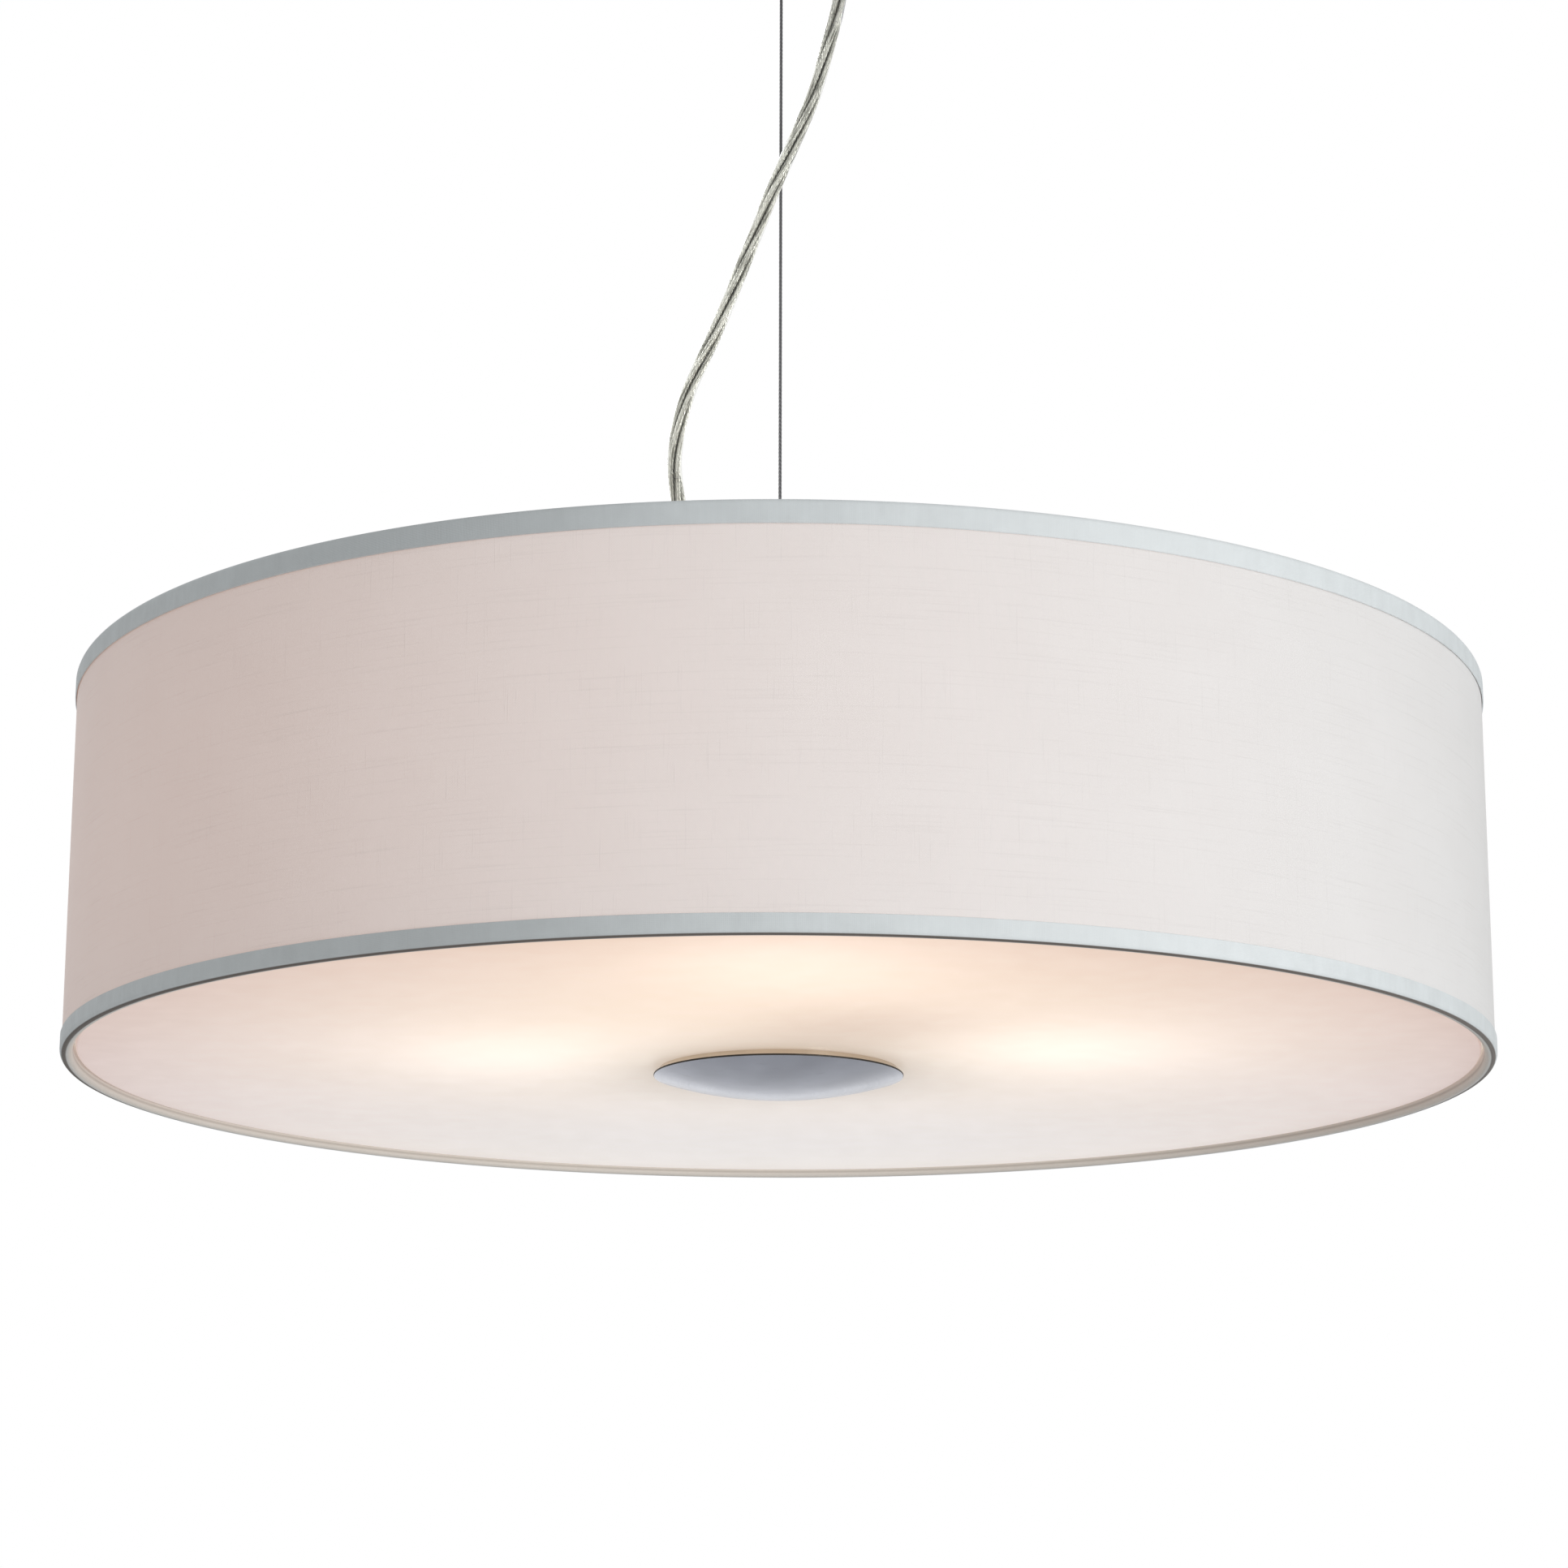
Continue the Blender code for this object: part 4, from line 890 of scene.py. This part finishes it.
def build_wire():
    """Six steel strands laid round a seventh."""
    low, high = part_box("suspension_wire")
    top, foot = Vector((0, 0, high.z)), Vector((0, 0, low.z))
    count = round((high.z - low.z) / WIRE_STEP)
    path = [top.lerp(foot, step / count) for step in range(count + 1)]
    shape = bmesh.new()
    tube(shape, path, STRAND_RADIUS, MIDDLE_SIDES)
    orbit = WIRE_DIAMETER / 2 - STRAND_RADIUS
    for number in range(WIRE_STRANDS):
        phase = number * 2 * math.pi / WIRE_STRANDS
        tube(shape, path, STRAND_RADIUS, STRAND_SIDES, orbit, STRAND_PITCH, phase)
    steel = cast_metal("wire_steel", (0.15, 0.15, 0.155), 0.42, 300.0)
    made = mesh_piece("wire_strands", shape, steel)
    dress(made, "suspension_wire")


def on_lap(angle, width=LAP_WIDTH, edge=LAP_EDGE):
    """1 where the cloth overlaps itself at the back, 0 elsewhere, with a short slope between."""
    off = abs(angle - LAP_ANGLE) * drum_radius
    return min(1.0, max(0.0, (width / 2 - off) / (width * edge)))


def wander(angle, height, size, scale=WANDER_SCALE, seed=0.0):
    """A slow wander of the drum's radius, the same each time."""
    place = (math.cos(angle) * scale, math.sin(angle) * scale, height * WANDER_RISE + seed)
    return size * noise.noise(Vector(place))


def build_shade():
    """The cloth wall on its film, and the folded tape round its two edges."""
    low, high, outer = span("shade_wall")
    wall_inner = outer - WALL_THICKNESS
    film_outer = outer - WALL_THICKNESS * CLOTH_SHARE
    cloth_inner = film_outer + FILM_GAP

    def upright(outside, inside):
        """The closed outline of a thin upright wall."""
        levels = [low + (high - low) * step / WALL_ROWS for step in range(WALL_ROWS + 1)]
        return [(outside, level) for level in reversed(levels)] + [(inside, level) for level in levels]

    def wall_radius(radius, height, angle):
        lap = LAP_RISE * on_lap(angle) if radius == outer else 0.0
        return radius + lap + wander(angle, height, WANDER)

    fabric, rows = FINISHES["shade_fabric"], upright(outer, cloth_inner)
    cloth = turned("shade_cloth", rows, DRUM_SIDES, fabric, vary=wall_radius)
    rows = upright(film_outer, wall_inner)
    film = turned("shade_film", rows, DRUM_SIDES, lining, vary=wall_radius)
    dress(cloth, "shade_wall")
    dress(film, "shade_wall", replaces=False)
    tapes = [build_tape("top_trim", -1), build_tape("bottom_trim", 1)]


def build_tape(node, way):
    """A hem of folded tape. way is 1 where its fold is below and -1 above."""
    low, high, outer = span(node)
    inner = min(point.co.xy.length for point in nodes[node].data.vertices)
    leg = high - low
    flat = leg * TAPE_FLAT_FROM
    fold = min(TAPE_FOLD, (outer - inner) / 2 - TAPE_CLOTH / 4)

    def arc(radius, middle, start, end):
        """The points of an arc from one angle to another."""
        for step in range(TAPE_FOLD_STEPS + 1):
            angle = start + (end - start) * step / TAPE_FOLD_STEPS
            yield middle[0] + radius * math.cos(angle), middle[1] + radius * math.sin(angle)

    rows = [(outer, leg - TAPE_CLOTH / 2), (outer, flat)]
    rows += arc(fold, (outer - fold, fold), 0, -math.pi / 2)
    rows += arc(fold, (inner + fold, fold), -math.pi / 2, -math.pi)
    rows += [(inner, flat), (inner, leg - TAPE_CLOTH / 2)]
    back = [(inner + TAPE_CLOTH, leg), (inner + TAPE_CLOTH, flat)]
    back += arc(fold - TAPE_CLOTH, (inner + fold, fold), -math.pi, -math.pi / 2)
    back += arc(fold - TAPE_CLOTH, (outer - fold, fold), -math.pi / 2, 0)
    back += [(outer - TAPE_CLOTH, flat), (outer - TAPE_CLOTH, leg)]
    base = low if way == 1 else high
    outline = [(radius, base + way * height) for radius, height in rows + back]

    def radius_of(radius, height, angle):
        outside = (radius - inner) / (outer - inner)
        from_fold = abs(height - base) / leg
        lap = on_lap(angle + TAPE_LAP_TURN, TAPE_LAP_WIDTH, TAPE_LAP_EDGE)
        pucker = wander(angle, height, PUCKER, PUCKER_SCALE, PUCKER_SEED) * from_fold
        return radius + LAP_RISE * lap * outside + pucker * outside + wander(angle, height, WANDER)

    fabric = FINISHES["trim_fabric"]
    return dress(turned(f"{node}_tape", outline, DRUM_SIDES, fabric, vary=radius_of), node)


def build_diffuser():
    """The frosted disc, its edges eased."""
    outline = divided(eased(outline_of("diffuser"), ease_of("diffuser")), DISC_STEP)
    made = turned("diffuser_disc", outline, DRUM_SIDES, FINISHES["diffuser_plastic"])
    dress(made, "diffuser")


def build_finial():
    """The spun dish with an upright lip, and the insert that the tube screws into."""
    low, high, outer = span("finial")
    lip, foot = outer - LIP_INSET, high - LIP_HEIGHT
    rim = foot - DISH_EDGE
    outline = eased([
        (lip - LIP_WALL, high), (lip, high), (lip, foot), (outer - DISH_EDGE / 4, foot),
        (outer, foot - DISH_EDGE / 4), (outer, rim + DISH_EDGE / 4),
    ], DISH_EDGE / 6, 2)
    shares = [1 - step / DISH_ROWS for step in range(DISH_ROWS + 1)]
    outside, inside = outer - DISH_EDGE / 4, lip - LIP_WALL
    outline += [(outside * share, rim - (rim - low) * (1 - share**2)) for share in shares]
    outline += [(inside * share, low + LIP_WALL + (rim - low) * share**2) for share in reversed(shares)]
    made = turned("finial_dish", outline, DISC_SIDES, FINISHES["satin_nickel"])
    # The lip is polished nickel; its warm tint is a painted reflection of the lit diffuser
    made.data.materials.append(turned_metal("bright_nickel_painted_reflection", (0.74, 0.66, 0.56), 0.10))
    # A near-black painted shadow on the dish's thin edge, below the lip
    made.data.materials.append(cast_metal("groove_painted_shadow", (0.06, 0.055, 0.05), 0.5, 200.0))
    for face in made.data.polygons:
        reach, level = face.center.xy.length, face.center.z
        if reach > lip - LIP_WALL / 2 and level > foot:
            face.material_index = 1
        elif reach > outer - DISH_EDGE / 2 and level > rim:
            face.material_index = 2
    dress(made, "finial")
    turn_again("finial_insert")


def build_ceiling_fitting():
    """The canopy's cup, the knurled wire holder, the strap, its stud and the terminal block."""
    turn_again("canopy", DISC_SIDES)
    turn_ribbed("wire_holder", **KNURL)
    turn_threaded("hanger_stud", **FINE_THREAD)
    softened("ceiling_strap")
    softened("terminal_block")


def build_gripper():
    """The cable gripper on the lamp, its plunger, and the spring that the plunger presses."""
    turn_again("gripper_body")
    turn_again("gripper_plunger")
    low, high, outer = span("gripper_spring")
    coil, bottom = outer - SPRING_WIRE / 2, low + SPRING_WIRE / 2
    rise = high - low - SPRING_WIRE
    count = SPRING_TURNS * SPRING_TURN_STEPS
    path = []
    for step in range(count + 1):
        angle = 2 * math.pi * SPRING_TURNS * step / count
        path.append(Vector((coil * math.cos(angle), coil * math.sin(angle), bottom + rise * step / count)))
    shape = bmesh.new()
    tube(shape, path, SPRING_WIRE / 2, SPRING_SIDES)
    made = dress(mesh_piece("gripper_coil", shape, FINISHES["steel"]), "gripper_spring")
    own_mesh(made)


def build_grip(node, way):
    """A cord grip with grooves round its taper. way is 1 when it points down."""
    axis = Matrix.Translation(middle_of(node) * Vector((1, 1, 0)))
    low, high, _ = span(node, axis)
    start, mouth = (high - GRIP_FLANGE, low) if way == 1 else (low + GRIP_FLANGE, high)
    reach = high - low - GRIP_FLANGE
    roomy = []
    for radius, height in outline_of(node, axis):
        inward = abs(height - mouth)
        if radius < GROOVED_FROM and inward < SOCKET_DEPTH:
            radius += SOCKET_WIDER / 2 if radius else 0.0
            height += way * SOCKET_DEEPER if inward > SOCKET_MOUTH else 0.0
        roomy.append((radius, height))

    def grooved(radius, height, angle):
        down = (start - height) * way
        if radius < GROOVED_FROM or not GROOVE_MARGIN < down < reach - GROOVE_MARGIN:
            return radius
        wave = math.sin(math.pi * (down - GROOVE_MARGIN) / GROOVE_PITCH) ** 2
        return radius - (GROOVE_DEPTH if wave > 0.5 else 0.0)

    turn_again(node, axis=axis, vary=grooved, step=GROOVE_STEP, outline=roomy)


def build_hub():
    """The pressed can and its lid, their threaded tube, the spider's ring and the washer."""
    turn_again("hub_housing", 2 * FITTING_SIDES)
    turn_again("hub_cover", 2 * FITTING_SIDES)
    turn_threaded("centre_tube", **FINE_THREAD)
    turn_again("spider_ring")
    turn_again("diffuser_washer")


def build_nut(node, axis=UPRIGHT):
    """A hexagon nut with its corners chamfered."""
    place = axis @ Matrix.Translation(axis.inverted() @ middle_of(node))
    low, high, corner = span(node, place)
    bore = min((place.inverted() @ point.co).xy.length for point in nodes[node].data.vertices)
    flat = corner * math.cos(math.pi / 6)
    chamfer = (high - low) * NUT_CHAMFER
    face = flat * NUT_FACE
    rises = [step / NUT_STEPS for step in range(NUT_STEPS + 1)]
    slope = [(face + (corner - face) * rise, chamfer * rise) for rise in rises]
    outline = [(bore + NUT_EASE, high)] + [(radius, high - drop) for radius, drop in slope]
    outline += [(radius, low + drop) for radius, drop in reversed(slope)]
    outline += [(bore + NUT_EASE, low), (bore, low + NUT_EASE), (bore, high - NUT_EASE)]

    def hexagon(radius, height, angle):
        return min(radius, flat / math.cos((angle + math.pi / 6) % (math.pi / 3) - math.pi / 6))

    finish = FINISHES[slots[node]]
    dress(turned(f"{node}_chamfered", outline, FITTING_SIDES, finish, place, hexagon), node)


def build_light(number, angle):
    """A fluted lampholder with its shell, contact and nut, and the bulb that screws into it."""
    axis = drop_axis(angle)
    turn_ribbed(f"lampholder_{number}", axis=axis, **FLUTES)
    turn_threaded(f"screw_shell_{number}", axis=axis, **SHELL_THREAD)
    turn_again(f"centre_contact_{number}", axis=axis)
    build_nut(f"holder_nut_{number}", axis)
    turn_threaded(f"bulb_cap_{number}", axis=axis, **CAP_THREAD)
    turn_again(f"bulb_glass_{number}", axis=axis)


def finish_frame():
    """Give every CAD node its finish. The nodes that a piece stands for are hidden when the piece is
    dressed.
    """
    for node, slot in slots.items():
        for held in nodes[node].material_slots:
            held.material = FINISHES[slot]


def build_floor():
    """A pale floor far below the lamp, clear from underneath."""
    shape = bmesh.new()
    bmesh.ops.create_grid(shape, x_segments=1, y_segments=1, size=FLOOR_SIZE / 2)
    bmesh.ops.translate(shape, verts=shape.verts, vec=(0, 0, FLOOR_LEVEL))
    made = Finish("floor", FLOOR_COLOUR, 0.9)
    away = made.from_axis()
    # The floor's painted glow, seen directly: little under the lamp, much far off
    lift = made.ranged(away, FLOOR_NEAR, FLOOR_FAR, FLOOR_NEAR_LIFT, FLOOR_FAR_LIFT)
    made.set("Emission Color", (1, 1, 1, 1))
    made.set("Emission Strength", made.product(made.seen_directly(), lift))
    underneath = made.node("ShaderNodeNewGeometry").outputs["Backfacing"]
    clear = made.node("ShaderNodeBsdfTransparent").outputs[0]
    either = made.node("ShaderNodeMixShader", underneath, made.shader.outputs[0], clear)
    made.feed(made.tree.nodes["Material Output"].inputs["Surface"], either.outputs[0])
    floor = mesh_piece("floor", shape, made.material)
    if floor.data.polygons[0].normal.z < 0:
        floor.data.flip_normals()


def build_background():
    """A studio that is white where it is seen and gives less light than it shows."""
    world = bpy.data.worlds.new("studio")
    bpy.context.scene.world = world
    sky = Graph(world)
    ambient, white = sky.tree.nodes["Background"], sky.node("ShaderNodeBackground")
    for background, strength in ((ambient, AMBIENT), (white, 1.0)):
        background.inputs["Color"].default_value = (1, 1, 1, 1)
        background.inputs["Strength"].default_value = strength
    mix = sky.node("ShaderNodeMixShader", sky.seen_directly(), ambient.outputs[0], white.outputs[0])
    sky.feed(sky.tree.nodes["World Output"].inputs["Surface"], mix.outputs[0])


def build_lamps():
    """Round, soft lamps that point at the shade's middle."""
    low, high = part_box("shade_wall")
    middle = Vector((0, 0, (low.z + high.z) / 2))
    for name, (place, size, watts, spread) in LAMPS.items():
        data = bpy.data.lights.new(name, "AREA")
        data.shape = "DISK"
        data.size = size
        data.energy = watts
        data.spread = spread
        made = new_object(name, data)
        made.location = place
        made.rotation_euler = (middle - Vector(place)).to_track_quat("-Z", "Y").to_euler()


def build_camera():
    """The camera, a little below the shade and looking up at it."""
    pitch, yaw, roll = CAMERA_PITCH, CAMERA_YAW, CAMERA_ROLL
    ahead = Vector((math.sin(yaw) * math.cos(pitch), math.cos(yaw) * math.cos(pitch), math.sin(pitch)))
    right = Vector((math.cos(yaw), -math.sin(yaw), 0))
    up = right.cross(ahead)
    right, up = (
        math.cos(roll) * right + math.sin(roll) * up,
        math.cos(roll) * up - math.sin(roll) * right,
    )
    data = bpy.data.cameras.new("camera")
    data.lens = CAMERA_LENS
    data.sensor_width = SENSOR_WIDTH
    made = new_object("camera", data)
    turn = Matrix((right, up, -ahead)).transposed().to_4x4()
    made.matrix_world = Matrix.Translation(CAMERA_PLACE) @ turn
    bpy.context.scene.camera = made


build_camera()
build_floor()
build_background()
build_lamps()
finish_frame()
build_cord()
build_wire()
build_shade()
build_diffuser()
build_finial()
build_ceiling_fitting()
build_gripper()
build_grip("top_cord_grip", 1)
build_grip("lower_cord_grip", -1)
build_hub()
for number, angle in enumerate(BULB_ANGLES, 1):
    build_light(number, angle)
for node in nodes:
    if "_nut" in node and "holder" not in node:
        build_nut(node)

scene = bpy.context.scene
scene.view_settings.view_transform = "Standard"
